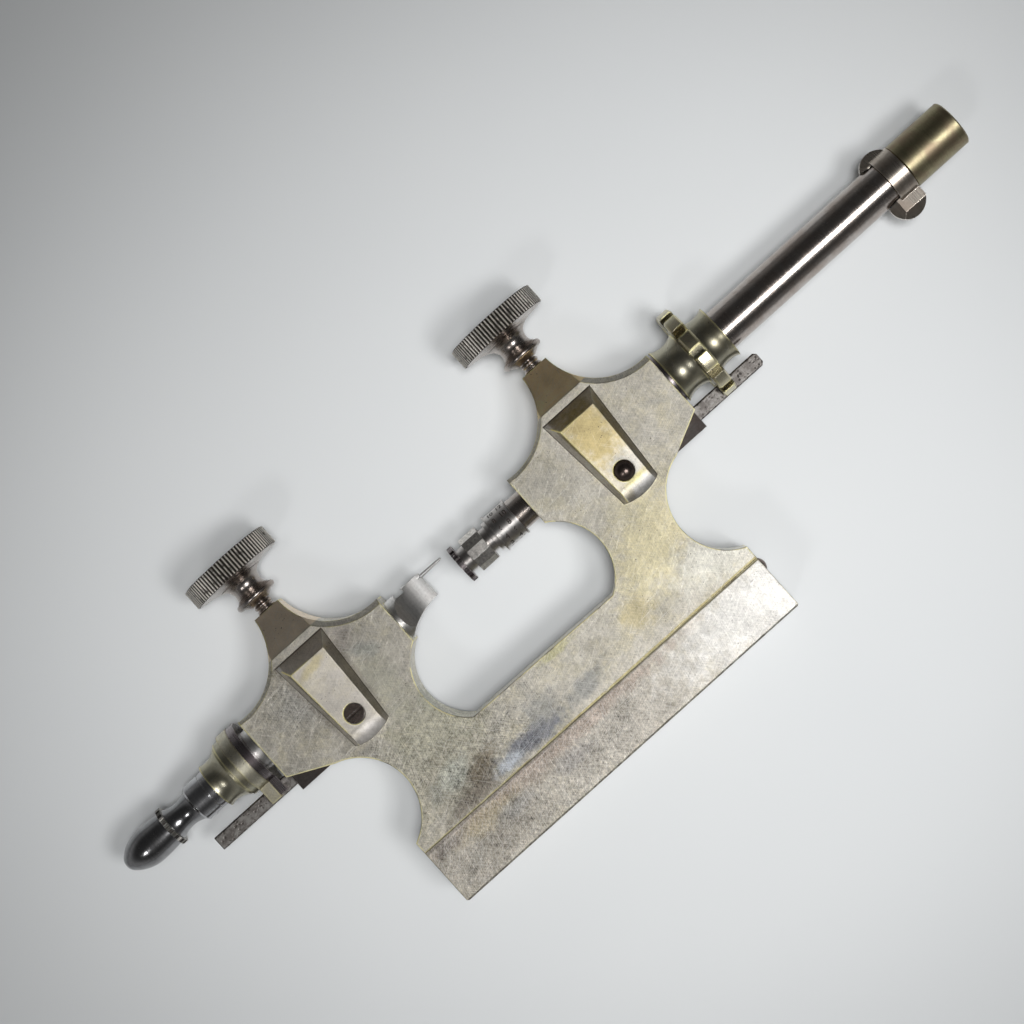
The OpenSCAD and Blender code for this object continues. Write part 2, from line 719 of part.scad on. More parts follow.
// A thumbscrew: thread with a swivel tip, bead, hollow neck and milled disc
module thumbscrew(x) {
    thread_low = shoe_top_y + run_fit;
    thread_l = boss_h + bead_gap - thread_low;
    turns = floor(thread_l / thread_pitch);
    root_r = thread_r - 0.22;
    along_y(x, thread_low) turned() polygon([
        [0, 0],
        for (i = [0 : turns - 1]) each [
            [root_r, i * thread_pitch], [thread_r, (i + 0.4) * thread_pitch],
            [thread_r, (i + 0.6) * thread_pitch]
        ],
        [root_r, turns * thread_pitch], [root_r, thread_l + 0.2], [0, thread_l + 0.2]
    ]);
    along_y(x, shoe_top_y - 0.5) cylinder(r = 0.7 - run_fit, h = 1);
    along_y(x, boss_h + bead_gap) turned() {
        bead_profile();
        neck_profile();
    }
    along_y(x, disc_y) difference() {
        intersection() {
            linear_extrude(disc_t) toothed(disc_r, disc_teeth, tooth_h);
            turned() polygon([
                [0, 0], [disc_r - 0.25, 0], [disc_r, 0.1], [disc_r, disc_t - 0.1],
                [disc_r - 0.25, disc_t], [0, disc_t]
            ]);
        }
        // the top of the disc is dished, with a rim and a button in the middle
        translate([0, 0, disc_t - 0.35]) difference() {
            cylinder(r = disc_r - 1.1, h = 0.35 + past);
            translate([0, 0, -0.01]) turned() shoulder(2.2, 0.6, 0.3);
        }
    }
}

// Half profile of the bead: a cone below, a round edge, and a hollow above
module bead_profile() {
    edge_r = 0.45;
    edge_y = bead_h * 0.6;
    polygon([
        [0, 0], [thread_r + 0.1, 0], [bead_r - edge_r * 1.4, edge_y - edge_r * 0.9],
        [bead_r - edge_r, edge_y], [bead_r - edge_r, edge_y + edge_r], [neck_r + 0.35, bead_h],
        [0, bead_h]
    ]);
    translate([bead_r - edge_r, edge_y]) circle(edge_r, $fn = 48);
}

// Half profile of the neck above the bead, hollow, with a wide flare under the disc
module neck_profile() {
    hollow_r = 1.6;
    flare_y = neck_l - 0.6;
    translate([0, bead_h - 0.1]) {
        difference() {
            square([neck_r + hollow_r, flare_y + 0.1]);
            translate([neck_r + hollow_r, flare_y - 1.45]) circle(hollow_r, $fn = 120);
            translate([neck_r + 0.45, -past]) square([hollow_r, flare_y - 1.45 + past]);
        }
        translate([0, 0.1]) polygon([
            [0, flare_y], [neck_r + 1.05, flare_y], [disc_r * 0.62, neck_l - 0.3],
            [disc_r - 0.3, neck_l], [disc_r - 0.6, neck_l + 0.1], [0, neck_l + 0.1]
        ]);
    }
}

module left_thumbscrew() {
    placed() color(steel) thumbscrew(left_head_x);
}

module right_thumbscrew() {
    placed() color(steel) thumbscrew(right_head_x);
}

// The left sleeve: a barrel in the head, a thinner seat outside it and the scooped nose in the window
module left_sleeve() {
    under_r = 9.3;
    scoop_r = 6.9;
    nose_floor_y = -0.86;
    nose_front = 0.3;
    groove_l = 1.5;
    groove_x = nose_x - 3.05 - groove_l;
    placed() color(steel) difference() {
        union() {
            along_x(flange_x) cylinder(r = sleeve_r, h = nose_x - flange_x);
            along_x(ferrule_x + run_fit) cylinder(r = spigot_r, h = flange_x - ferrule_x);
        }
        along_x(ferrule_x - past) cylinder(r = draw_rod_r + run_fit, h = left_inner_x - 1.5 - ferrule_x);
        // the underside of the nose is hollowed away
        intersection() {
            translate([nose_x, nose_floor_y - under_r, 0]) cylinder(r = under_r, h = 3 * axis_z, $fn = 180);
            translate([left_inner_x + 0.2, -2 * sleeve_r, 0]) cube([nose_l + 1, 4 * sleeve_r, 3 * axis_z]);
        }
        // the front of the nose is scooped away
        intersection() {
            translate([nose_x, -2 * sleeve_r, axis_z + nose_front + scoop_r]) rotate([-90, 0, 0])
                cylinder(r = scoop_r, h = 4 * sleeve_r, $fn = 180);
            translate([left_inner_x + 0.2, -2 * sleeve_r, 0]) cube([nose_l + 1, 4 * sleeve_r, 3 * axis_z]);
        }
        translate([groove_x, 2.45, 0]) cube([groove_l, 2, 3 * axis_z]);
        translate([0, needle_y, 0]) along_x(nose_x - 2.5) cylinder(r = needle_r + fixed_fit, h = 4);
    }
}

// The needle tapers a little from the nose to its blunt, eased end
module needle() {
    tip_r = 0.65 * needle_r;
    ease = 0.06;
    placed() color(steel) translate([0, needle_y, 0]) along_x(nose_x - 2.4) turned() polygon([
        [0, 0], [needle_r, 0], [needle_r, 2.4], [tip_r, 2.4 + needle_l - ease],
        [tip_r - ease, 2.4 + needle_l], [0, 2.4 + needle_l]
    ]);
}

// The flared hub: hollow towards the ferrule, with a step ring against the arm
module left_hub() {
    ring_l = 1.1;
    flare_r = 4.1;
    hollow_l = hub_l - ring_l;
    hollow_r = 3.1;
    placed() color(nickel) along_x(ferrule_x + run_fit) difference() {
        turned() {
            difference() {
                square([flare_r, hollow_l]);
                polygon([[hub_r, -past], [flare_r + 1, -past], [flare_r + 1, 0.9], [hub_r, 0.9]]);
                translate([hub_r - 0.2 + hollow_r, 0.9]) circle(hollow_r, $fn = 120);
            }
            translate([0, hollow_l - 0.01]) square([flare_r + 0.3, ring_l - run_fit + 0.01]);
        }
        translate([0, 0, -past]) cylinder(r = spigot_r + fixed_fit, h = hub_l + 2 * past);
    }
}

// Outline of the arm plates: a disc with a tail that forks over the guide bar
module arm_outline(r, drop, tail_w) {
    difference() {
        union() {
            circle(r);
            translate([-tail_w / 2, -drop]) square([tail_w, drop]);
        }
        circle(spigot_r + fixed_fit);
        translate([-bar_t / 2 - run_fit, -drop - past])
            square([bar_t + 2 * run_fit, drop - bar_drop + run_fit + past]);
    }
}

module guide_arm() {
    placed() color(nickel) along_x(hub_x) linear_extrude(arm_t) arm_outline(arm_r, arm_drop, arm_tail_w);
}

module arm_flange() {
    placed() color(dark_steel) along_x(arm_x) linear_extrude(flange_t)
        arm_outline(flange_r, arm_drop - 0.2, arm_tail_w - 0.4);
}

// The acorn knob with its neck, bored for the draw rod
module acorn_knob() {
    front_l = acorn_l * 0.57;
    tip_l = front_l - acorn_tip_r;
    side_r = (acorn_r * acorn_r + tip_l * tip_l - acorn_tip_r * acorn_tip_r)
        / (2 * (acorn_r - acorn_tip_r));
    // where the side's arc hands over to the tip's
    meet = acorn_tip_r * (1 + tip_l / (side_r - acorn_tip_r));
    placed() color(dark_steel) along_x(left_tip_x) difference() {
        turned() {
            translate([0, acorn_tip_r]) square([acorn_tip_r - 0.1, acorn_l + ring_t]);
            intersection() {
                translate([0, acorn_tip_r]) circle(acorn_tip_r);
                square([acorn_r, acorn_l]);
            }
            intersection() {
                translate([acorn_r - side_r, front_l]) circle(side_r, $fn = 180);
                translate([0, 2 * acorn_tip_r - meet]) square([acorn_r, front_l - 2 * acorn_tip_r + meet]);
            }
            translate([0, front_l]) shoulder(acorn_r, acorn_r - 0.22, acorn_l - front_l);
            translate([0, acorn_l]) square([acorn_neck_r + 0.2, ring_t]);
            translate([0, acorn_l + ring_t]) waist(acorn_neck_r + 0.5, acorn_neck_r, acorn_neck_l);
        }
        translate([0, 0, acorn_l - 2]) cylinder(r = draw_rod_r + fixed_fit, h = acorn_neck_l + ring_t + 3);
    }
}

module milled_ring() {
    placed() color(dark_steel) along_x(acorn_x + fixed_fit) linear_extrude(ring_t - 2 * fixed_fit)
        difference() {
            toothed(ring_r, 44, 0.16);
            circle(acorn_neck_r + 0.2 + fixed_fit);
        }
}

module knob_ferrule() {
    ease = 0.3;
    placed() color(steel) along_x(neck_x + fixed_fit) turned() polygon([
        [draw_rod_r + fixed_fit, 0], [ferrule_r - ease, 0], [ferrule_r, ease],
        [ferrule_r, ferrule_l - 1.15], [ferrule_r - 0.12, ferrule_l - 1.1],
        [ferrule_r - 0.12, ferrule_l - 1], [ferrule_r, ferrule_l - 0.95],
        [ferrule_r, ferrule_l - 0.1], [draw_rod_r + fixed_fit, ferrule_l - 0.1]
    ]);
}

module draw_rod() {
    placed() color(steel) along_x(acorn_x - 1.9)
        cylinder(r = draw_rod_r, h = left_inner_x - 2.2 - acorn_x + 1.9);
}

// The bush of the right head, with its thin flange outside the ear
module right_sleeve() {
    start_x = right_inner_x + 0.3;
    placed() color(dark_steel) difference() {
        union() {
            along_x(start_x) cylinder(r = sleeve_r, h = right_face_x + 0.1 - start_x);
            along_x(right_face_x + run_fit) cylinder(r = collar_r, h = collar_t);
        }
        along_x(right_inner_x) cylinder(r = rod_r + run_fit, h = left_ear_l + right_ear_l + 2);
    }
}

// The bed wheel: a thin disc of lugs, each with a groove that a pivot lies in; the grooves grow
module bed_wheel() {
    placed() color(dark_steel) along_x(bed_x) linear_extrude(bed_t - fixed_fit) difference() {
        circle(bed_r);
        for (i = [0 : places - 1]) rotate((i + 0.5) * 360 / places) {
            translate([-bed_gap_w / 2, bed_r - 0.55]) square([bed_gap_w, 1]);
            rotate(180 / places) translate([0, bed_r]) circle(0.08 + 0.012 * i, $fn = 24);
        }
        circle(0.8 + fixed_fit);
    }
}

// The drum: necks, a faceted part, a collar, two thin rings and the marked band between them
module index_drum() {
    placed() color(steel) difference() {
        union() {
            along_x(drum_x) turned() {
                square([drum_neck_r, drum_end_x - drum_x]);
                translate([0, collar_x - drum_x]) square([drum_collar_r, drum_collar_l + 0.1]);
                translate([0, band_x - first_ring_l - drum_x]) square([drum_ring_r, first_ring_l]);
                translate([0, band_x - drum_x]) square([band_r, band_l]);
                translate([0, drum_end_x - last_ring_l - drum_x]) square([drum_ring_r, last_ring_l]);
            }
            along_x(facet_x) rotate(180 / places)
                cylinder(r = facet_w / 2 / cos(180 / places), h = facet_l, $fn = places);
            along_x(bed_x) cylinder(r = 0.8, h = bed_t + 0.2);
        }
        along_x(drum_end_x - 4) cylinder(r = 1.2 + fixed_fit, h = 4 + past);
    }
}

// The rod that carries the drum, turns in the right sleeve and holds the hub and the tube
module spindle_rod() {
    placed() color(steel) {
        along_x(drum_end_x) cylinder(r = rod_r, h = tube_x - drum_end_x);
        along_x(drum_end_x - 3.9) cylinder(r = 1.2, h = 4);
        along_x(tube_x - 0.1) cylinder(r = tube_bore_r - fixed_fit, h = 4.1);
    }
}

// The nickel hub with a waist on each side of the index wheel
module index_hub() {
    second_x = wheel_x + wheel_t;
    placed() color(nickel) along_x(hub_start_x) difference() {
        turned() {
            waist(index_hub_r + 0.15, index_waist_r, wheel_x);
            translate([0, wheel_x - 0.01]) square([index_waist_r - 0.2, wheel_t + 0.02]);
            translate([0, second_x]) waist(index_hub_r, index_waist_r, index_hub_l - second_x);
        }
        translate([0, 0, -past]) cylinder(r = rod_r + fixed_fit, h = index_hub_l + 2 * past);
    }
}

// The index wheel: one notch always straddles the guide bar, so the drum can't turn
module index_wheel() {
    ease = 0.25;
    placed() color(nickel) along_x(wheel_start_x + fixed_fit) intersection() {
        linear_extrude(wheel_t - 2 * fixed_fit) difference() {
            circle(wheel_r);
            circle(index_waist_r - 0.2 + fixed_fit);
            for (i = [0 : places - 1]) rotate(i * 360 / places)
                translate([-notch_w / 2, notch_low_r]) square([notch_w, wheel_r]);
        }
        turned() eased_box([0, 0], [wheel_r, wheel_t - 2 * fixed_fit], ease);
    }
}

module spindle_tube() {
    placed() color(steel) along_x(tube_x + fixed_fit) difference() {
        cylinder(r = tube_r, h = tube_l - fixed_fit);
        translate([0, 0, -past]) cylinder(r = tube_bore_r, h = tube_l + 2 * past);
    }
}

// The end barrel, with the neck that the wing collar turns on and a spigot in the tube
module end_barrel() {
    ease = 0.2;
    placed() color(steel) along_x(wing_x) difference() {
        turned() {
            translate([0, -5]) square([tube_bore_r - fixed_fit, 6]);
            square([barrel_neck_r, wing_l + 0.1]);
            translate([0, wing_l]) polygon([
                [0, 0], [barrel_r - ease, 0], [barrel_r, ease], [barrel_r, barrel_l - ease],
                [barrel_r - ease, barrel_l], [0, barrel_l]
            ]);
        }
        translate([0, 0, wing_l + barrel_l - 6]) cylinder(r = 1.6, h = 6 + past);
        translate([0, 0, wing_l + barrel_l - 0.6]) cylinder(r1 = 1.6, r2 = 2.4, h = 0.8);
    }
}

// The wing collar: a ring with a long and a short ear, each rounded and thinned towards its edge
module wing_collar() {
    length = wing_l - 2 * run_fit;
    ear_half = 1.2;
    rim_half = 0.35;
    slope = 1.4;
    ear_x = wing_x + 0.57;
    placed() color(steel) difference() {
        union() {
            along_x(wing_x + run_fit) cylinder(r = wing_r, h = length);
            for (ear = [[1, wing_short], [-1, wing_reach]]) intersection() {
                translate([ear_x, ear[0] * (ear[1] - wing_ear_r), axis_z - 2 * ear_half])
                    cylinder(r = wing_ear_r, h = 4 * ear_half);
                translate([ear_x - 2 * wing_ear_r, 0, axis_z]) rotate([90, 0, 90])
                    linear_extrude(wing_x + wing_l - run_fit - ear_x + 2 * wing_ear_r)
                    thinned(ear[0] * 2, ear[0] * ear[1], ear_half, rim_half, ear[0] * slope);
                translate([0, -2 * wing_reach, axis_z]) rotate([-90, 0, 0])
                    linear_extrude(4 * wing_reach)
                    thinned(ear_x + wing_ear_r, ear_x - wing_ear_r, ear_half, rim_half, -slope);
            }
        }
        along_x(wing_x - past) cylinder(r = barrel_neck_r + run_fit, h = wing_l + 2 * past);
        along_x(wing_x - wing_ear_r) cylinder(r = tube_r + 0.1, h = wing_ear_r + run_fit);
    }
}

// Section that is thick at one end and slopes to a thin rim at the other
module thinned(thick_x, rim_x, half, rim_half, slope) {
    polygon([
        [thick_x, half], [rim_x - slope, half], [rim_x, rim_half],
        [rim_x, -rim_half], [rim_x - slope, -half], [thick_x, -half]
    ]);
}

frame_casting();
foot_bar();
foot_screws();
seam_screw();
left_cap_block();
right_cap_block();
left_cap_screw();
right_cap_screw();
left_guide_bracket();
right_guide_bracket();
bracket_screws();
left_guide_bar();
right_guide_bar();
left_clamp_shoe();
right_clamp_shoe();
left_thumbscrew();
right_thumbscrew();
left_sleeve();
needle();
left_hub();
guide_arm();
arm_flange();
acorn_knob();
milled_ring();
knob_ferrule();
draw_rod();
right_sleeve();
bed_wheel();
index_drum();
spindle_rod();
index_hub();
index_wheel();
spindle_tube();
end_barrel();
wing_collar();
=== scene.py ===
# %% [markdown]
# # A pivot polishing lathe, lying on its back
#
# The tool holds the fine pivot of a wheel's arbor in one of twelve grooves while the pivot is
# polished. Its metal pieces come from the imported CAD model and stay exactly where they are. This
# script gives them their finishes: worn nickel plate, brass that shows through it, polished and
# pitted steel. It adds the small numbers round the index drum, the lamps, the table and the camera.

# %% Load the pieces
import math
import bmesh
import bpy
from mathutils import Matrix, Vector


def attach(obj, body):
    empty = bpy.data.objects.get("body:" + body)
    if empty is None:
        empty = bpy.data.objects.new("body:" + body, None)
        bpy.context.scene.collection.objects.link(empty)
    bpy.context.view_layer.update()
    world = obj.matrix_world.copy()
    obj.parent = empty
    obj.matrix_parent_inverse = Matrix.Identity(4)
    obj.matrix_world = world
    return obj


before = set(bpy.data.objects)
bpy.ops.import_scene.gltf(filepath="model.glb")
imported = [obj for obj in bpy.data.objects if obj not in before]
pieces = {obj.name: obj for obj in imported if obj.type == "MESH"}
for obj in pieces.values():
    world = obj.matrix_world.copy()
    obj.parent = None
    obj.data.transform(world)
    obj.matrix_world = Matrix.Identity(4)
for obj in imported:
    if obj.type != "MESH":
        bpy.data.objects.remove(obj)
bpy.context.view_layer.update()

MM = 0.001

# %% [markdown]
# ## The camera
#
# The tool is seen from above, and a long lens keeps the perspective slight. A camera looks along its
# own -Z axis, so its place and turn are built from three directions: back towards the eye, the
# picture's right and the picture's up. The tool's long axis runs up to the right at 42 degrees.

# %% The camera
EYE = Vector((7.517, 3.362, 370.4)) * MM
AIM = Vector((-3.886, 6.693, 7.4)) * MM
TURN = math.radians(42.02)
LENS = 94.9
NEAREST = 0.01

camera = bpy.data.objects.new("camera", bpy.data.cameras.new("camera"))
bpy.context.scene.collection.objects.link(camera)
back = (EYE - AIM).normalized()
right = Vector((math.cos(TURN), -math.sin(TURN), 0))
right = (right - back * right.dot(back)).normalized()
turned = Matrix((right, back.cross(right), back)).transposed().to_4x4()
camera.matrix_world = Matrix.Translation(EYE) @ turned
camera.data.lens, camera.data.clip_start = LENS, NEAREST
bpy.context.scene.camera = camera
print("camera looks from", [round(v, 4) for v in EYE])

# %% [markdown]
# ## The table and the lamps
#
# Polished metal is mostly a picture of what surrounds it, so the lamps come before the finishes. Two
# soft square lamps stand on the foot's side of the tool, one to each side of the eye. They give the
# necks of the thumbscrews their two highlights and the tube its single line.

# %% The table
TABLE_HALF = 1.6

table_mesh = bpy.data.meshes.new("table")
corners = [(x * TABLE_HALF, y * TABLE_HALF, 0) for x, y in ((-1, -1), (1, -1), (1, 1), (-1, 1))]
table_mesh.from_pydata(corners, [], [(0, 1, 2, 3)])
table = bpy.data.objects.new("table", table_mesh)
bpy.context.scene.collection.objects.link(table)
print("table is", 2 * TABLE_HALF, "m wide")


# %% The lamps
TOOL_MIDDLE = Vector((0, 0, 0.01))


def lamp(title, place, size, watts):
    """A soft square lamp at a place in metres, facing the middle of the tool."""
    light = bpy.data.lights.new(title, "AREA")
    light.shape, light.size, light.energy = "SQUARE", size, watts
    made = bpy.data.objects.new(title, light)
    bpy.context.scene.collection.objects.link(made)
    made.location = place
    made.rotation_mode = "QUATERNION"
    made.rotation_quaternion = (Vector(place) - TOOL_MIDDLE).to_track_quat("Z", "Y")
    print(title, "gives", watts, "W from", place)


lamp("lamp_right", (0.19, -0.31, 0.90), size=0.24, watts=3.4)
lamp("lamp_left", (-0.56, -0.31, 0.90), size=0.16, watts=1.1)

# %% [markdown]
# Light that bounces about in a pale room softens the shadows on the table. A third lamp almost
# overhead stands for it. It is left out of mirror reflections, because a bounce has no bright shape
# of its own, and it fades towards the corners.

# %% The soft fill
FILL_PLACE = Vector((0.05, -0.02, 0.80))
FILL_AIM = Vector((0.014, -0.018, 0))
FILL_WATTS, FILL_RADIUS = 23.0, 0.10
FILL_CONE, FILL_FADE = math.radians(21.5), 1.0

bounce = bpy.data.lights.new("room_bounce", "SPOT")
bounce.energy, bounce.shadow_soft_size = FILL_WATTS, FILL_RADIUS
bounce.spot_size, bounce.spot_blend = FILL_CONE, FILL_FADE
fill = bpy.data.objects.new("room_bounce", bounce)
bpy.context.scene.collection.objects.link(fill)
fill.location = FILL_PLACE
fill.rotation_mode = "QUATERNION"
fill.rotation_quaternion = (FILL_PLACE - FILL_AIM).to_track_quat("Z", "Y")
fill.visible_glossy = False
print("fill fades out", round(math.degrees(FILL_CONE) / 2, 1), "degrees from its middle")

# %% [markdown]
# ## Shader maths written as Python
#
# A material is a graph of nodes, and a long graph is hard to read. The class below wraps one output
# socket and gives it the ordinary operators, so that a mask can be written as a sum. A second class
# holds one material while it is made: one method adds any node, and the others name the few patterns
# that the finishes share, such as clouds, pits and scratches. Sizes are in millimetres, because the
# pieces' own coordinates are multiplied by a thousand first.


# %% One value in a material
class Value:
    """An output socket that can be added, multiplied and compared like a number."""

    def __init__(self, socket):
        self.socket = socket

    def maths(self, operation, other, turned=False):
        node = self.socket.id_data.nodes.new("ShaderNodeMath")
        node.operation = operation
        for socket, value in zip(node.inputs, (other, self) if turned else (self, other)):
            feed(socket, value)
        return Value(node.outputs[0])

    def __add__(self, other):
        return self.maths("ADD", other)

    def __sub__(self, other):
        return self.maths("SUBTRACT", other)

    def __rsub__(self, other):
        return self.maths("SUBTRACT", other, turned=True)

    def __mul__(self, other):
        return self.maths("MULTIPLY", other)

    __radd__ = __add__
    __rmul__ = __mul__

    def larger(self, other):
        return self.maths("MAXIMUM", other)

    def ramp(self, start, end):
        """0 at start and 1 at end, smooth between them; start may lie above end."""
        node = self.socket.id_data.nodes.new("ShaderNodeMapRange")
        node.interpolation_type = "SMOOTHSTEP"
        feed(node.inputs["Value"], self)
        feed(node.inputs["From Min"], min(start, end))
        feed(node.inputs["From Max"], max(start, end))
        feed(node.inputs["To Min"], float(start > end))
        feed(node.inputs["To Max"], float(start < end))
        return Value(node.outputs[0])


def feed(socket, value):
    """Links a Value to a socket, or sets a plain number, colour or vector on it."""
    if isinstance(value, Value):
        socket.id_data.links.new(value.socket, socket)
    elif socket.type == "RGBA" and len(value) == 3:
        socket.default_value = (*value, 1)
    else:
        socket.default_value = value


# %% One material while it is made
FLAT = 1e6  # a size so large that its axis no longer counts


class Finish:
    """A material, with the point on the piece in millimetres as its starting value."""

    def __init__(self, title):
        self.material = bpy.data.materials.new(title)
        self.material.use_nodes = True
        self.tree = self.material.node_tree
        self.shader = self.tree.nodes["Principled BSDF"]
        place = self.node("TexCoord", out="Object")
        self.point = self.node("VectorMath", {"operation": "SCALE"}, {"Vector": place, "Scale": 1 / MM})
        self.seed = len(bpy.data.materials) * 17.0

    def node(self, kind, settings=None, inputs=None, out=0):
        """Adds any node: first its settings, then its sockets' values or links."""
        made = self.tree.nodes.new("ShaderNode" + kind)
        for name, setting in (settings or {}).items():
            setattr(made, name, setting)
        for name, value in (inputs or {}).items():
            feed(made.inputs[name], value)
        return Value(made.outputs[out])

    def axis(self, name):
        return self.node("SeparateXYZ", None, {0: self.point}, name)

    def mix(self, share, colour, other):
        return self.node("Mix", {"data_type": "RGBA"}, {0: share, 6: colour, 7: other}, 2)

    def scaled(self, colour, factor):
        return self.node("VectorMath", {"operation": "SCALE"}, {0: colour, "Scale": factor})

    def seen_from(self, place=(0, 0, 0), turn=0.0, size=(1, 1, 1)):
        """The point as seen from a place, turned about Z and measured in units of size."""
        inputs = {"Vector": self.point, "Location": place, "Scale": size}
        inputs["Rotation"] = (0, 0, math.radians(turn))
        return self.node("Mapping", {"vector_type": "TEXTURE"}, inputs)

    def length(self, point):
        return self.node("VectorMath", {"operation": "LENGTH"}, {0: point}, "Value")

    def noise(self, size, detail=2.0, coarse=0.5, point=None):
        """Cloudy noise from 0 to 1 whose lumps are about size millimetres across."""
        self.seed += 31.7
        offset = (self.seed, 0.37 * self.seed, -self.seed)
        moved = self.node("VectorMath", {"operation": "ADD"}, {0: point or self.point, 1: offset})
        inputs = {"Vector": moved, "Scale": 1 / size, "Detail": detail, "Roughness": coarse}
        return self.node("TexNoise", None, inputs)

    def grain(self, size, strength):
        """A factor near 1 with fine noise in it."""
        return strength * (self.noise(size, 3.0, 0.6) - 0.5) + 1.0

    def scratches(self, turn, length, width, share):
        """Fine lines in one direction: long thin noise, cut so that only its tops stay."""
        lines = self.noise(1.0, 1.0, 0.5, self.seen_from(turn=turn, size=(length, width, length)))
        cut = 0.74 - 0.14 * share
        return lines.ramp(cut, cut + 0.05)

    def hairs(self, turn):
        """Short fibres of light and dark in one direction, as fine rubbing leaves them."""
        return self.noise(1.0, 3.0, 0.7, self.seen_from(turn=turn, size=(1.4, 0.15, 1.4)))

    def spot(self, x, y, long, wide, turn, ragged=1.6):
        """1 inside an ellipse on the front face, fading raggedly to 0 past its rim."""
        distance = self.length(self.seen_from((x, y, 0), turn, (long, wide, FLAT)))
        return (distance + ragged * (self.noise(1.3, 4.0, 0.65) - 0.5)).ramp(1.2, 0.35)

    def rounded(self, reach):
        return self.node("Bevel", {"samples": 8}, {"Radius": reach * MM})

    def edges(self, reach):
        """1 along sharp edges: there a rounded normal differs from the surface's own."""
        plain = self.node("NewGeometry", out="Normal")
        inputs = {0: self.rounded(reach), 1: plain}
        alike = self.node("VectorMath", {"operation": "DOT_PRODUCT"}, inputs, "Value")
        return (1 - alike).ramp(0.01, 0.10)

    def set(self, **inputs):
        for name, value in inputs.items():
            feed(self.shader.inputs[name.replace("_", " ")], value)

    def bump(self, height, depth, eased):
        """Raises the surface by height times depth millimetres, with edges eased by a radius."""
        inputs = {"Strength": 1.0, "Distance": depth * MM, "Height": height}
        inputs["Normal"] = self.rounded(eased)
        self.set(Normal=self.node("Bump", None, inputs))


def wear(material, *names):
    """Puts a finish on CAD pieces by name."""
    for name in names:
        slots = pieces[name].data.materials
        slots.clear()
        slots.append(material)
    print(material.name, "is on", ", ".join(names))


# %% [markdown]
# ## The table's surface
#
# The table is plain and pale. It is not part of the tool, so its finish is only a soft grey with the
# faintest clouds, which keeps the shadows and the metal's reflections even. Its light falls off away
# from the tool, and most on the thumbscrews' side. Two soft masks in the colour stand for that.

# %% Pale table
GREY, LIGHTER_GREY = (0.625, 0.642, 0.65), (0.66, 0.674, 0.678)

pale = Finish("pale_table")
grey = pale.mix(pale.noise(40.0, 2.0), GREY, LIGHTER_GREY)
far = pale.length(pale.point).ramp(55, 125)
beyond = pale.axis("Y").ramp(20, 110)
pale.set(Base_Color=pale.scaled(grey, 1 - (0.24 * far + 0.22 * beyond)), Roughness=0.7)
table.data.materials.append(pale.material)
print("table finish:", pale.material.name)

# %% [markdown]
# ## Worn nickel plate
#
# The frame, its foot and the cap blocks are brass under a thin coat of nickel. The plate is a warm
# grey metal with cloudy tarnish, fine pits and scratches from a century of use, and it has worn
# through to yellow brass along the edges; that brass is made bright, partly a painted highlight on
# the rounded edges. Every sharp edge is first painted darker brown, a painted shade. All of it is
# one layered colour: each layer is a mask and the colour that it brings. Roughness follows the same
# masks, because stained plate is duller.
#
# Each plated piece sets a few amounts: how much of it has gone straw yellow, how dull it is, how
# strong its fine mottle is, how scored it is and how far its edges are worn to brass and painted
# bright. A piece with marks of its own adds them in a function, which also says where the plate is
# etched and where an edge is gilt, that is, shows its brass with a painted highlight.

# %% Nickel plate
NICKEL = (0.585, 0.55, 0.475)
STRAW = (0.60, 0.54, 0.36)
BRASS_AND_EDGE_GLINT = (1.0, 0.93, 0.52)
GRIME = (0.12, 0.10, 0.08)
BRIGHT = (0.88, 0.86, 0.82)
EDGE_SHADE_BROWN = (0.26, 0.23, 0.17)
EDGE_REACH = 0.48
PLATE_DEPTH = 0.012


def nickel_plate(title, base, straw, dull, fine, scored, worn, spots=(), extra=None, eased=0.16):
    """A Finish of worn plate; spots are rows (x, y, long, wide, turn, colour, strength, duller)."""
    plate = Finish(title)
    stain = plate.noise(3.2, 6.0, 0.7).ramp(0.44, 0.66)
    colour = plate.mix(straw * stain, base, STRAW)
    rough = dull + 0.04 * stain
    for x, y, long, wide, turn, tint, strength, duller in spots:
        shape = plate.spot(x, y, long, wide, turn)
        colour = plate.mix(strength * shape, colour, tint)
        rough = rough + duller * shape
    etched, gilt = 0.0, 1.0
    if extra:
        colour, rough, etched, gilt = extra(plate, colour, rough)
    clouds = plate.noise(5.0, 7.0, 0.66) - 0.5
    mottle = plate.noise(0.45, 3.0, 0.75) + plate.hairs(25) + plate.hairs(-48) + plate.hairs(82) - 2.0
    broad = (0.5 * etched + 1.1) * clouds
    colour = plate.scaled(colour, broad + (0.8 * etched + 0.9 * fine) * mottle + 1.0)
    pits = plate.noise(0.36, 3.0, 0.6).ramp(0.655, 0.70) * plate.noise(2.6, 3.0).ramp(0.48, 0.58)
    colour = plate.mix(0.85 * pits, colour, GRIME)
    lines = plate.scratches(35, 6, 0.08, scored).larger(plate.scratches(-50, 5, 0.07, scored))
    lines = lines.larger(plate.scratches(72, 3.5, 0.08, scored))
    lines = lines.larger(plate.scratches(4, 7, 0.08, scored))
    colour = plate.mix(0.35 * lines, colour, BRIGHT)
    edge = plate.edges(EDGE_REACH)
    edge_wear_and_glint = gilt * plate.noise(3.5, 3.0).ramp(0.38, 0.50)
    # painted shade: every sharp edge is coloured darker brown
    colour = plate.mix(0.5 * edge, colour, EDGE_SHADE_BROWN)
    # worn brass made bright, partly a painted highlight on the rounded edges
    colour = plate.mix(worn * edge * edge_wear_and_glint, colour, BRASS_AND_EDGE_GLINT)
    rough = rough + 0.12 * pits - 0.04 * lines + 0.16 * worn * edge * edge_wear_and_glint
    plate.set(Base_Color=colour, Metallic=1.0, Roughness=rough)
    plate.bump(plate.noise(0.55, 3.0, 0.65) - 0.5 * pits - 0.3 * lines, PLATE_DEPTH * fine, eased)
    print(title, "has", len(plate.tree.nodes), "nodes")
    return plate.material
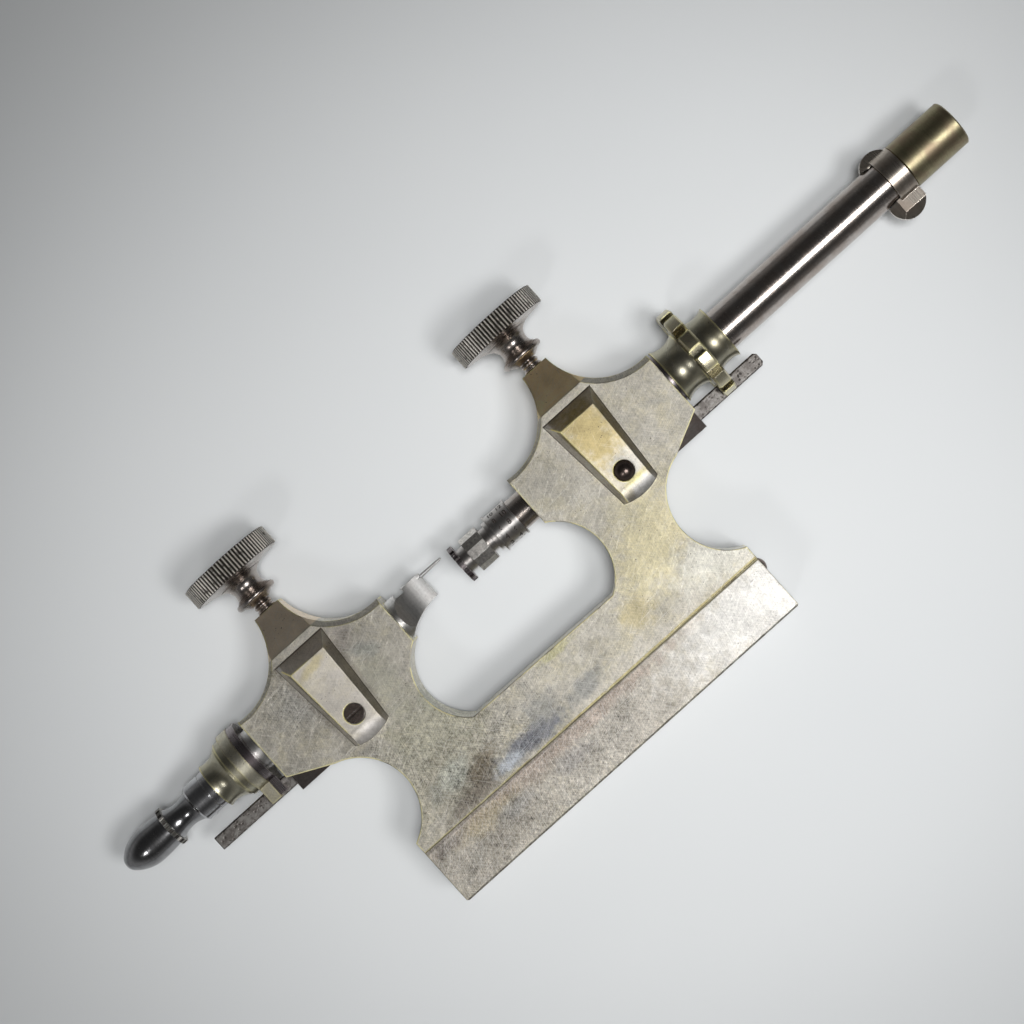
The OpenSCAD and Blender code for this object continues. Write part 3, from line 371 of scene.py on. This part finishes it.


# %% [markdown]
# ## The frame
#
# The frame is seen flat on, so its plate shows most of the wear. The right column has gone straw
# yellow, and its marks are also painted lighter, a painted sheen from the right lamp. Cool grey
# smudges lie along the rail near the seam. The sloping faces of the bosses are a warm brown, painted
# light enough to stand in for the light that they miss. Each mark is one row: where it lies in
# millimetres, how long and wide it is, which way it points, its colour, how strong it is and how
# much duller it makes the plate. Where the old plate is etched, light and dark specks stand close
# together; that needs a layer of its own. The slopes of the bosses are smoother than the rest, so
# they are etched less.

# %% The frame's marks
COOL = (0.23, 0.24, 0.275)
PALE_COOL = (0.50, 0.53, 0.565)
BROWN = (0.22, 0.185, 0.135)
GREENISH = (0.42, 0.42, 0.33)
ROSY = (0.46, 0.38, 0.32)
frame_spots = [
    # x, y, long, wide, turn, colour, strength, duller
    # straw stain and painted sheen: the right column is coloured lighter
    (7.0, -8.8, 9.5, 5.6, 38, (0.69, 0.62, 0.40), 0.85, -0.02),
    (-0.6, -14.3, 3.2, 2.6, 0, (0.58, 0.50, 0.29), 0.75, 0.0),
    # painted sheen from the right lamp, with cleaner plate
    (14, -15.5, 9.5, 4.2, 0, (0.72, 0.70, 0.62), 0.85, -0.02),
    (9.9, -2.5, 5.5, 2.6, 0, (0.68, 0.62, 0.42), 0.55, 0.0),
    (-31, -8, 8.5, 8, 30, (0.43, 0.415, 0.315), 0.7, 0.02),
    (-32.5, 2, 3.6, 5, 0, (0.50, 0.49, 0.39), 0.5, 0.0),
    (-42, 7, 4.5, 3.6, 20, (0.49, 0.48, 0.45), 0.5, 0.02),
    (-32, 9.8, 2.6, 2.0, 40, (0.46, 0.41, 0.37), 0.6, 0.0),
    (-30.4, 6.2, 2.4, 1.3, -30, (0.40, 0.41, 0.38), 0.6, 0.0),
    (-28.6, -4.6, 2.4, 1.6, -60, GREENISH, 0.6, 0.03),
    (-41.0, 4.5, 8.2, 0.5, -85, (0.28, 0.25, 0.21), 0.55, 0.05),
    (-33.4, 4.5, 8.2, 0.5, 85, (0.28, 0.25, 0.21), 0.55, 0.05),
    (-34, -15.0, 8.5, 5.5, 0, (0.39, 0.365, 0.295), 0.8, 0.03),
    (-36.2, -14.4, 2.2, 1.2, 40, (0.24, 0.24, 0.20), 0.7, 0.02),
    (-33.0, -14.2, 3.4, 2.0, 30, (0.54, 0.545, 0.47), 0.9, 0.0),
    (-29.6, -15.9, 4.2, 1.7, 24, BROWN, 0.9, 0.02),
    (-32.5, -18.2, 6.5, 1.3, 4, (0.29, 0.255, 0.21), 0.8, 0.02),
    (-21.6, -17.5, 6.4, 1.9, -4, COOL, 0.9, 0.02),
    (-18.6, -15.6, 3.4, 2.4, 20, (0.31, 0.31, 0.30), 0.7, 0.02),
    (-26.4, -17.9, 2.9, 1.1, 5, PALE_COOL, 0.95, -0.02),
    (-11.8, -17.0, 4.4, 1.6, 8, (0.30, 0.30, 0.29), 0.75, 0.02),
    (-12, -10.9, 3.0, 0.7, 0, (0.58, 0.55, 0.28), 0.6, 0.0),
    (20.8, 4.5, 4.0, 0.6, -25, (0.44, 0.42, 0.37), 0.5, 0.0),
]


SEAM_TOP = -19.52  # where the dark line along the seam begins
BOSS_Y = 13.6  # where the bosses' slopes begin
BOSS_BROWN, BOSS_GOLD = (0.90, 0.77, 0.60), (1.0, 0.79, 0.48)
SEAM_YELLOW, SEAM_DARK = (0.51, 0.44, 0.23), (0.13, 0.11, 0.06)


def specked(plate, colour, where, dark, light, light_share):
    """Dark and light specks close together, where the old plate is etched."""
    specks = plate.noise(0.45, 4.0, 0.85)
    colour = plate.mix(0.3 * where * specks.ramp(0.54, 0.62), colour, dark)
    return plate.mix(light_share * where * specks.ramp(0.45, 0.37), colour, light)


def boss_and_seam(plate, colour, rough):
    """Warm brown slopes on the bosses, painted light, an etched left side and a yellow line along the
    seam.
    """
    across = plate.axis("Y")
    # painted light: the slopes face away from the lamps, so their brown is set near full brightness
    slope = across.ramp(BOSS_Y - 0.25, BOSS_Y)
    golden = plate.axis("X").ramp(-10, -5)
    colour = plate.mix(slope, colour, plate.mix(golden, BOSS_BROWN, BOSS_GOLD))
    etched = plate.spot(-34, -12, 19, 9, -8, 2.0).larger(0.5 * plate.spot(-43, 8, 6, 5, 0, 2.0))
    colour = specked(plate, colour, etched, (0.17, 0.155, 0.125), (0.80, 0.78, 0.71), 0.22)
    line = across.ramp(SEAM_TOP + 0.30, SEAM_TOP + 0.20) * plate.noise(2.5, 3.0).ramp(0.30, 0.44)
    colour = plate.mix(line, colour, SEAM_YELLOW)
    colour = plate.mix(across.ramp(SEAM_TOP + 0.04, SEAM_TOP - 0.06), colour, SEAM_DARK)
    gilt = 1 - 0.7 * across.ramp(SEAM_TOP + 0.72, SEAM_TOP + 0.32)
    return colour, rough + 0.07 * slope, etched - 0.7 * slope, gilt


amounts = {"straw": 0.4, "dull": 0.39, "fine": 0.8, "scored": 0.6, "worn": 0.9}
frame_nickel = nickel_plate("frame_nickel", NICKEL, **amounts, spots=frame_spots, extra=boss_and_seam)
wear(frame_nickel, "frame_casting")

# %% [markdown]
# The foot was gripped in a vice for years. Its left half is dark and etched, with a rosy speckled
# band beside the seam and file marks that run across it. Its right end is almost white, partly
# cleaner plate and partly a painted sheen from the right lamp. Its lower front edge is nicked and
# dark, and its upper one is the other half of the seam's dark line.

# %% The foot's marks
foot_spots = [
    # x, y, long, wide, turn, colour, strength, duller
    (-12, -24, 16, 6, 0, (0.465, 0.43, 0.375), 0.85, 0.0),
    (-36, -24, 16, 6, 0, (0.41, 0.375, 0.32), 0.85, 0.03),
    # cleaner plate and painted sheen from the right lamp: the right end is coloured near white
    (13, -24, 17, 7, 0, (0.75, 0.73, 0.69), 0.95, -0.03),
    (-20, -20.5, 24, 1.5, 0, ROSY, 0.85, 0.03),
    (-24.5, -21.6, 3.6, 1.3, 8, (0.34, 0.29, 0.24), 0.6, 0.02),
    (-33.5, -21.4, 6.5, 1.9, 0, (0.46, 0.395, 0.27), 0.75, 0.0),
    (-19.6, -23.2, 4.0, 1.5, 0, (0.33, 0.31, 0.29), 0.8, 0.0),
    (-29.6, -22.8, 3.6, 1.2, 0, (0.38, 0.37, 0.35), 0.7, 0.0),
    (-39.8, -20.8, 3.2, 1.2, 0, (0.27, 0.24, 0.21), 0.8, 0.0),
    (-37.5, -24.6, 3.6, 1.2, 20, (0.33, 0.31, 0.27), 0.6, 0.0),
]


SEAM_LOW = -19.93  # where the dark line along the seam ends
FOOT_LOW = -28.0  # the foot's lower edge
FRONT = 11.7  # the front face of the frame and the foot
NICKED = (0.22, 0.19, 0.17)


def vice_marks(plate, colour, rough):
    """Etched specks and file marks on the left, and dark lines at the two front edges."""
    left = (plate.axis("X") + 9 * (plate.noise(3.0, 3.0) - 0.5)).ramp(2, -15)
    colour = specked(plate, colour, left, (0.20, 0.17, 0.14), (0.84, 0.80, 0.74), 0.2)
    filed = plate.scratches(52, 3.0, 0.07, 0.9).larger(plate.scratches(78, 2.0, 0.07, 0.6)) * left
    colour = plate.mix(0.45 * filed, colour, BRIGHT)
    across = plate.axis("Y")
    top = across.ramp(SEAM_LOW - 0.05, SEAM_LOW + 0.05)
    nicks = across.ramp(FOOT_LOW + 0.40, FOOT_LOW + 0.05) * plate.noise(0.9, 3.0).ramp(0.42, 0.56)
    nicks = nicks * plate.axis("Z").ramp(FRONT - 0.5, FRONT - 0.1)
    colour = plate.mix((0.8 * nicks).larger(0.7 * top), colour, NICKED)
    return colour, rough + 0.03 * left, 0.8 * left, 0.15


amounts = {"straw": 0.3, "dull": 0.39, "fine": 0.8, "scored": 0.7, "worn": 0.8}
foot_nickel = nickel_plate("foot_nickel", NICKEL, **amounts, spots=foot_spots, extra=vice_marks)
wear(foot_nickel, "foot_bar")

# %% [markdown]
# The cap blocks have been handled most. The left one still has its plate, with brass along the
# edges. The right one has worn to brass on its whole top, apart from a ring that the screw's head
# protected and its lower end. The lower ends of both carry a painted highlight. Both have a bevel on
# the left, which leans a little and is painted light as a highlight from the left lamp, and the brass
# on their left edges is partly worn brass and partly painted highlight. Both are darker where they
# meet their heads.

# %% The cap blocks
left_spots = [
    # x, y, long, wide, turn, colour, strength, duller
    (-36.9, 9.2, 3.4, 0.8, 12, (0.56, 0.49, 0.30), 0.8, 0.0),
    # painted highlight: the rounded lower end is coloured near white, as it catches the lamps
    (-36.6, -2.6, 3.4, 1.5, 0, (0.85, 0.81, 0.77), 0.9, 0.08),
]
right_spots = [
    # x, y, long, wide, turn, colour, strength, duller
    (10.9, 7.6, 4.4, 6.6, 0, (0.47, 0.385, 0.20), 1.0, 0.06),
    (11.4, 1.2, 2.5, 2.2, 0, (0.56, 0.54, 0.49), 0.95, 0.03),
    (12.0, -0.9, 2.6, 0.5, 0, (0.72, 0.66, 0.34), 0.9, 0.03),
    # painted highlight: the rounded lower end is coloured near white, as it catches the lamps
    (12.5, -2.8, 3.4, 1.6, 0, (0.88, 0.86, 0.83), 0.95, 0.08),
]


CAP_HALF = 2.34  # from the middle of a cap to its left bevel
CAP_LEAN = 0.08
BEVEL_HIGHLIGHT = (0.96, 0.91, 0.84)
CAP_FOOT_DARK = (0.16, 0.14, 0.12)


def handled_cap(middle):
    """Brass along the top's left edge, partly painted highlight, a painted highlight on the left bevel,
    and a darker foot.
    """

    def handled(plate, colour, rough):
        # brass on the top's left edge, partly worn brass and partly a painted highlight from the left
        # lamp
        gilt = 2.5 * plate.axis("X").ramp(middle + 1.0, middle - 1.0)
        gilt = gilt * plate.axis("Z").ramp(FRONT + 0.9, FRONT + 1.3)
        across = plate.axis("X") + CAP_LEAN * plate.axis("Y")
        # painted highlight: the left bevel is coloured light because it faces the left lamp
        slope = across.ramp(middle - CAP_HALF, middle - CAP_HALF - 0.25)
        colour = plate.mix(slope, colour, BEVEL_HIGHLIGHT)
        # darker where the block meets its head
        foot = plate.axis("Z").ramp(FRONT + 0.28, FRONT + 0.12)
        return plate.mix(0.7 * foot, colour, CAP_FOOT_DARK), rough + 0.08 * slope, 0.0, gilt

    return handled


caps = [
    # title, piece, base, straw, spots, middle
    ("left_cap_nickel", "left_cap_block", (0.60, 0.56, 0.50), 0.25, left_spots, -37.2),
    ("right_cap_brass", "right_cap_block", (0.60, 0.55, 0.45), 0.3, right_spots, 11.0),
]
amounts = {"dull": 0.38, "fine": 0.45, "scored": 0.2, "worn": 1.0, "eased": 0.22}
for title, name, base, straw, spots, middle in caps:
    wear(nickel_plate(title, base, straw, **amounts, spots=spots, extra=handled_cap(middle)), name)

# %% [markdown]
# The turned hubs and the index wheel are nickel too, but smooth and bright, with a greenish-yellow
# cast. The guide arm is flat and duller.

# %% The hubs and the arm
smooth_plates = [
    # title, base, straw, dull, fine, scored, worn, pieces
    ("hub_nickel", (0.39, 0.37, 0.285), 0.4, 0.31, 0.15, 0.3, 0.6, ("left_hub", "index_hub")),
    ("wheel_nickel", (0.54, 0.50, 0.37), 0.5, 0.27, 0.15, 0.3, 0.8, ("index_wheel",)),
    ("arm_nickel", (0.60, 0.57, 0.46), 0.5, 0.36, 0.5, 0.3, 0.4, ("guide_arm",)),
]
for *values, names in smooth_plates:
    wear(nickel_plate(*values), *names)

# %% [markdown]
# ## Polished steel
#
# The sleeves, the drum and the long tube are hardened steel, polished bright. Bare steel reflects
# about half of the light, with the fine lines of the polishing running round it. Those lines are
# noise that is stretched round the axis that the piece was turned on, so it hardly changes along a
# ring and changes quickly along the axis. The brackets and the small screws show flat faces, and
# their noise is the same in every direction. A little brown tarnish gathers in clouds.


# %% Steel
EDGE_POLISH_AND_GLINT = (0.80, 0.78, 0.74)
RIDGES = 0.0012  # the height of the polishing lines, in millimetres
STRETCH = {"X": (1, 25, 25), "Y": (25, 1, 25), "Z": (4, 4, 4)}


def steel(title, colour, tarnish, dull, tarnished, turned, extra=None, ridges=RIDGES, eased=0.06):
    """A Finish of turned steel; turned picks the stretch of its lines, and ridges is their height."""
    metal = Finish(title)
    rings = metal.noise(0.14, 2.0, 0.6, metal.seen_from(size=STRETCH[turned]))
    clouds = metal.noise(2.2, 4.0, 0.6).ramp(0.36, 0.66)
    specks = metal.noise(0.22, 2.0, 0.6).ramp(0.66, 0.74) * metal.noise(1.4, 2.0).ramp(0.45, 0.60)
    shade = metal.scaled(colour, metal.grain(0.3, 0.5) + 0.5 * (rings - 0.5))
    shade = metal.mix(tarnished * clouds, shade, tarnish)
    shade = metal.mix(0.35 * specks, shade, GRIME)
    # painted highlight with polish: sharp edges are coloured lighter
    edge_wear_and_glint = 0.45 * metal.edges(0.12) * metal.noise(1.2, 2.0).ramp(0.3, 0.5)
    shade = metal.mix(edge_wear_and_glint, shade, EDGE_POLISH_AND_GLINT)
    rough = dull + 0.05 * clouds + 0.15 * specks + 0.08 * (rings - 0.5)
    if extra:
        shade, rough = extra(metal, shade, rough)
    metal.set(Base_Color=shade, Metallic=1.0, Roughness=rough)
    metal.bump(rings - 0.5 * specks, ridges, eased)
    print(title, "has", len(metal.tree.nodes), "nodes")
    return metal.material


# %% [markdown]
# The ring behind the acorn is milled, so that the fingers can turn it. Its teeth are finer than the
# model's facets, and stripes of painted shade and painted highlight round its edge stand for them:
# the sine of sixty times the angle round the spindle. After that, every steel piece is one row of
# the same few amounts. The brass clamp shoes are turned too, and use the same recipe in another
# colour.

# %% The steel pieces
SPINDLE = Vector((0, 6.0, 7.4))
STRIPES = 60
WARM_STEEL = (0.46, 0.42, 0.39)
BROWNED = (0.26, 0.18, 0.13)
BLACKED = (0.15, 0.14, 0.145)
PAINTED_GROOVE_SHADE, PAINTED_RIDGE_GLINT = (0.07, 0.065, 0.06), (0.78, 0.75, 0.70)


def milled_ring(metal, shade, rough):
    """Stripes of painted highlight and painted shade round the edge of the ring behind the acorn."""
    up = metal.axis("Z") - SPINDLE.z
    angle = (metal.axis("Y") - SPINDLE.y).maths("ARCTAN2", up)
    stripes = (STRIPES * angle).maths("SINE", 0.0).ramp(-0.3, 0.5)
    return metal.mix(stripes, PAINTED_GROOVE_SHADE, PAINTED_RIDGE_GLINT), rough


tube = ("spindle_tube", "spindle_rod")
nose = ("left_sleeve", "needle")
rod = ("knob_ferrule", "draw_rod")
screws = ("left_cap_screw", "right_cap_screw", "seam_screw", "foot_screws", "bracket_screws")
brackets = ("left_guide_bracket", "right_guide_bracket")
shoes = ("left_clamp_shoe", "right_clamp_shoe")
dark = ("arm_flange", "right_sleeve", "bed_wheel")
steels = [
    # title, colour, tarnish, dull, tarnished, turned, extra, ridges, pieces
    ("tube_steel", WARM_STEEL, BROWNED, 0.19, 0.35, "X", None, RIDGES, tube),
    ("barrel_steel", (0.32, 0.285, 0.175), BROWNED, 0.38, 0.6, "X", None, 0.003, ("end_barrel",)),
    ("collar_steel", (0.50, 0.45, 0.39), BROWNED, 0.27, 0.4, "X", None, RIDGES, ("wing_collar",)),
    ("nose_steel", (0.76, 0.75, 0.73), (0.44, 0.40, 0.37), 0.35, 0.3, "X", None, 0.003, nose),
    ("ferrule_steel", (0.50, 0.50, 0.51), BLACKED, 0.20, 0.35, "X", None, 0.002, rod),
    ("knob_steel", (0.34, 0.34, 0.345), BLACKED, 0.175, 0.3, "X", None, 0.0006, ("acorn_knob",)),
    ("milled_steel", (0.40, 0.38, 0.36), BLACKED, 0.30, 0.4, "X", milled_ring, 0.002, ("milled_ring",)),
    ("dark_steel", (0.30, 0.27, 0.27), (0.11, 0.08, 0.09), 0.26, 0.6, "X", None, RIDGES, dark),
    ("bracket_steel", (0.085, 0.075, 0.07), (0.06, 0.045, 0.04), 0.36, 0.5, "Z", None, RIDGES, brackets),
    ("screw_steel", (0.20, 0.16, 0.14), (0.10, 0.07, 0.06), 0.27, 0.6, "Z", None, RIDGES, screws),
    ("shoe_brass", (0.72, 0.56, 0.27), (0.45, 0.32, 0.16), 0.34, 0.5, "Y", None, RIDGES, shoes),
]
for *values, names in steels:
    wear(steel(*values), *names)


# %% [markdown]
# The index drum has been ground on its twelve facets, which leaves them grey and dull beside the
# polished rings. The milled discs of the thumbscrews are dark between their teeth, partly grime and
# partly painted shade, and light at the tips, partly bright steel and partly a painted highlight, so
# a tooth's colour follows its distance from the screw's axis.

# %% Drum and thumbscrews
FACETS_START, FACETS_END = -12.0, -9.0
GROUND = (0.66, 0.63, 0.59)
ROOT_R, TIP_R = 6.58, 6.90  # the milled discs' teeth
GAP_GRIME_AND_SHADE, TIP_STEEL_AND_GLINT = (0.07, 0.06, 0.053), (0.94, 0.90, 0.83)


def ground_facets(metal, shade, rough):
    """Dull grey between the drum's two necks, where its facets are."""
    along = metal.axis("X")
    facets = along.ramp(FACETS_START, FACETS_START + 0.1) * along.ramp(FACETS_END, FACETS_END - 0.1)
    ground = metal.scaled(GROUND, metal.grain(0.3, 1.6))
    return metal.mix(facets, shade, ground), rough + 0.02 * facets


def milled_disc(x):
    """Tooth tips painted light and gaps painted dark on the thumbscrew's disc at x: highlight, shade and
    grime.
    """

    def teeth(metal, shade, rough):
        radius = metal.length(metal.seen_from((x, 0, SPINDLE.z), size=(1, FLAT, 1)))
        rim = radius.ramp(ROOT_R - 0.03, ROOT_R + 0.04)
        tips = radius.ramp(TIP_R - 0.18, TIP_R - 0.04) * metal.noise(0.8, 3.0).ramp(0.2, 0.5)
        tooth = metal.mix(tips, GAP_GRIME_AND_SHADE, TIP_STEEL_AND_GLINT)
        return metal.mix(rim, shade, tooth), rough + 0.22 * rim

    return teeth


drum = steel("drum_steel", (0.54, 0.52, 0.50), (0.24, 0.20, 0.18), 0.29, 0.4, "X", ground_facets, 0.006)
wear(drum, "index_drum")
THUMBSCREW_X = {"left": -37.175, "right": 11.225}
thumb = (0.42, 0.385, 0.36), BROWNED, 0.24, 0.35, "Y"
for side, x in THUMBSCREW_X.items():
    finish = steel(side + "_thumb_steel", *thumb, milled_disc(x), ridges=0.0004, eased=0.14)
    wear(finish, side + "_thumbscrew")

# %% [markdown]
# ## Pitted guide bars
#
# The two flat bars have rusted lightly and been cleaned again, which leaves broad shallow pits with
# brown floors between smoother islands. A cell texture gives the pits their rounded outline. Their
# edges carry a dark painted shade.

# %% Pitted steel
CLEANED, RUSTED = (0.42, 0.40, 0.375), (0.22, 0.20, 0.185)
PIT_FLOOR, BAR_EDGE_SHADE = (0.10, 0.09, 0.08), (0.07, 0.06, 0.055)
PIT_DEPTH = 0.02

bar = Finish("pitted_steel")
blotches = bar.noise(1.0, 4.0, 0.7)
cells = {"Vector": bar.point, "Scale": 2.2, "Smoothness": 0.6}
pocks = bar.node("TexVoronoi", {"feature": "SMOOTH_F1"}, cells)
pocks = pocks.ramp(0.45, 0.20) * blotches.ramp(0.42, 0.56)
shade = bar.mix(blotches.ramp(0.35, 0.62), CLEANED, RUSTED)
shade = bar.mix(0.8 * pocks, shade, PIT_FLOOR)
# painted shade along the bars' edges
shade = bar.mix(0.85 * bar.edges(0.24), shade, BAR_EDGE_SHADE)
bar.set(Base_Color=shade, Metallic=1.0, Roughness=0.38 + 0.2 * pocks)
bar.bump(-1 * pocks + 0.3 * blotches, PIT_DEPTH, eased=0.12)
wear(bar.material, "left_guide_bar", "right_guide_bar")

# %% [markdown]
# ## Numbers on the index drum
#
# The marked band of the drum carries two small numbers at each of its twelve places: the thinnest and
# the thickest pivot that the groove there takes, in hundredths of a millimetre. Text is flat, so each
# number is turned into a mesh, cut into small faces and wrapped round the band. All of them become
# one piece that turns with the spindle. Real ones are stamped, and old oil has dried black in them.

# %% Numbers
BAND_R = 2.72
BAND_COLUMNS = (-6.425, -4.915)
NUMBER_H = 0.80
TEXT_SCALE = 1.35  # a font's size is larger than its figures are high
STROKE = 0.035
SLICE, SLICES = 0.08, 6
NUMBER_PROUD = 0.006
THINNEST = [*range(6, 26, 2), 2, 4]


def flat_number(text):
    """Corner points and faces of a number, in millimetres, centred on the origin."""
    curve = bpy.data.curves.new("number", "FONT")
    curve.body, curve.size, curve.offset = text, NUMBER_H * TEXT_SCALE, STROKE
    curve.align_x, curve.align_y = "CENTER", "CENTER"
    holder = bpy.data.objects.new("number", curve)
    mesh = bpy.data.meshes.new_from_object(holder)
    shape = bmesh.new()
    shape.from_mesh(mesh)
    bmesh.ops.remove_doubles(shape, verts=shape.verts, dist=0.001)
    for step in range(-SLICES, SLICES + 1):
        everything = shape.verts[:] + shape.edges[:] + shape.faces[:]
        level = (0, SLICE * step, 0)
        bmesh.ops.bisect_plane(shape, geom=everything, plane_co=level, plane_no=(0, 1, 0))
    bmesh.ops.triangulate(shape, faces=shape.faces)
    points = [tuple(v.co) for v in shape.verts]
    faces = [tuple(v.index for v in f.verts) for f in shape.faces]
    shape.free()
    bpy.data.objects.remove(holder)
    bpy.data.curves.remove(curve)
    bpy.data.meshes.remove(mesh)
    return points, faces


def on_band(x, y, column, angle, radius):
    """A point of a flat number, laid round the band with its foot towards -Y at the front."""
    turn = angle + y / BAND_R
    return (
        (column + x) * MM,
        (SPINDLE.y + radius * math.sin(turn)) * MM,
        (SPINDLE.z + radius * math.cos(turn)) * MM,
    )


number_points, number_faces = [], []
for place, thin in enumerate(THINNEST):
    for column, size in zip(BAND_COLUMNS, (thin, thin + 2)):
        points, faces = flat_number(str(size))
        angle = 2 * math.pi * place / len(THINNEST)
        start = len(number_points)
        number_points += [on_band(x, y, column, angle, BAND_R + NUMBER_PROUD) for x, y, _ in points]
        number_faces += [tuple(start + i for i in face) for face in faces]
number_mesh = bpy.data.meshes.new("drum_numbers")
number_mesh.from_pydata(number_points, [], number_faces)
drum_numbers = bpy.data.objects.new("drum_numbers", number_mesh)
bpy.context.scene.collection.objects.link(drum_numbers)
OIL_BLACK, OIL_BROWN = (0.012, 0.010, 0.010), (0.05, 0.04, 0.035)
old_oil = Finish("dried_oil")
oil = old_oil.mix(old_oil.noise(0.2, 3.0), OIL_BLACK, OIL_BROWN)
old_oil.set(Base_Color=oil, Roughness=0.6)
drum_numbers.data.materials.append(old_oil.material)
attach(drum_numbers, "spindle")
print("drum_numbers:", len(number_faces), "faces")

# %% [markdown]
# ## The room
#
# The world stands for the room round the table. Its light is dim overhead and lighter near the
# horizon, more so on the side of the acorn knob. That keeps long dark reflections in the steel from
# above and still lights the sides of the tool.

# %% Room light
OVERHEAD = 0.04
HORIZON = 0.17
ONE_SIDED = 0.13

world = bpy.data.worlds.new("room")
bpy.context.scene.world = world
world.use_nodes = True
tree = world.node_tree
sky = tree.nodes.new("ShaderNodeTexCoord")
height = tree.nodes.new("ShaderNodeSeparateXYZ")
tree.links.new(sky.outputs["Generated"], height.inputs[0])
level = Value(height.outputs["Z"]).ramp(0.6, 0.0)
sideways = Value(height.outputs["X"])
feed(tree.nodes["Background"].inputs["Color"], (1.0, 1.0, 1.0))
strength = OVERHEAD + level * (HORIZON - ONE_SIDED * sideways)
feed(tree.nodes["Background"].inputs["Strength"], strength)
bpy.context.scene.view_settings.view_transform = "Standard"
print("room light from", OVERHEAD, "overhead to about", round(OVERHEAD + HORIZON, 2), "at the horizon")
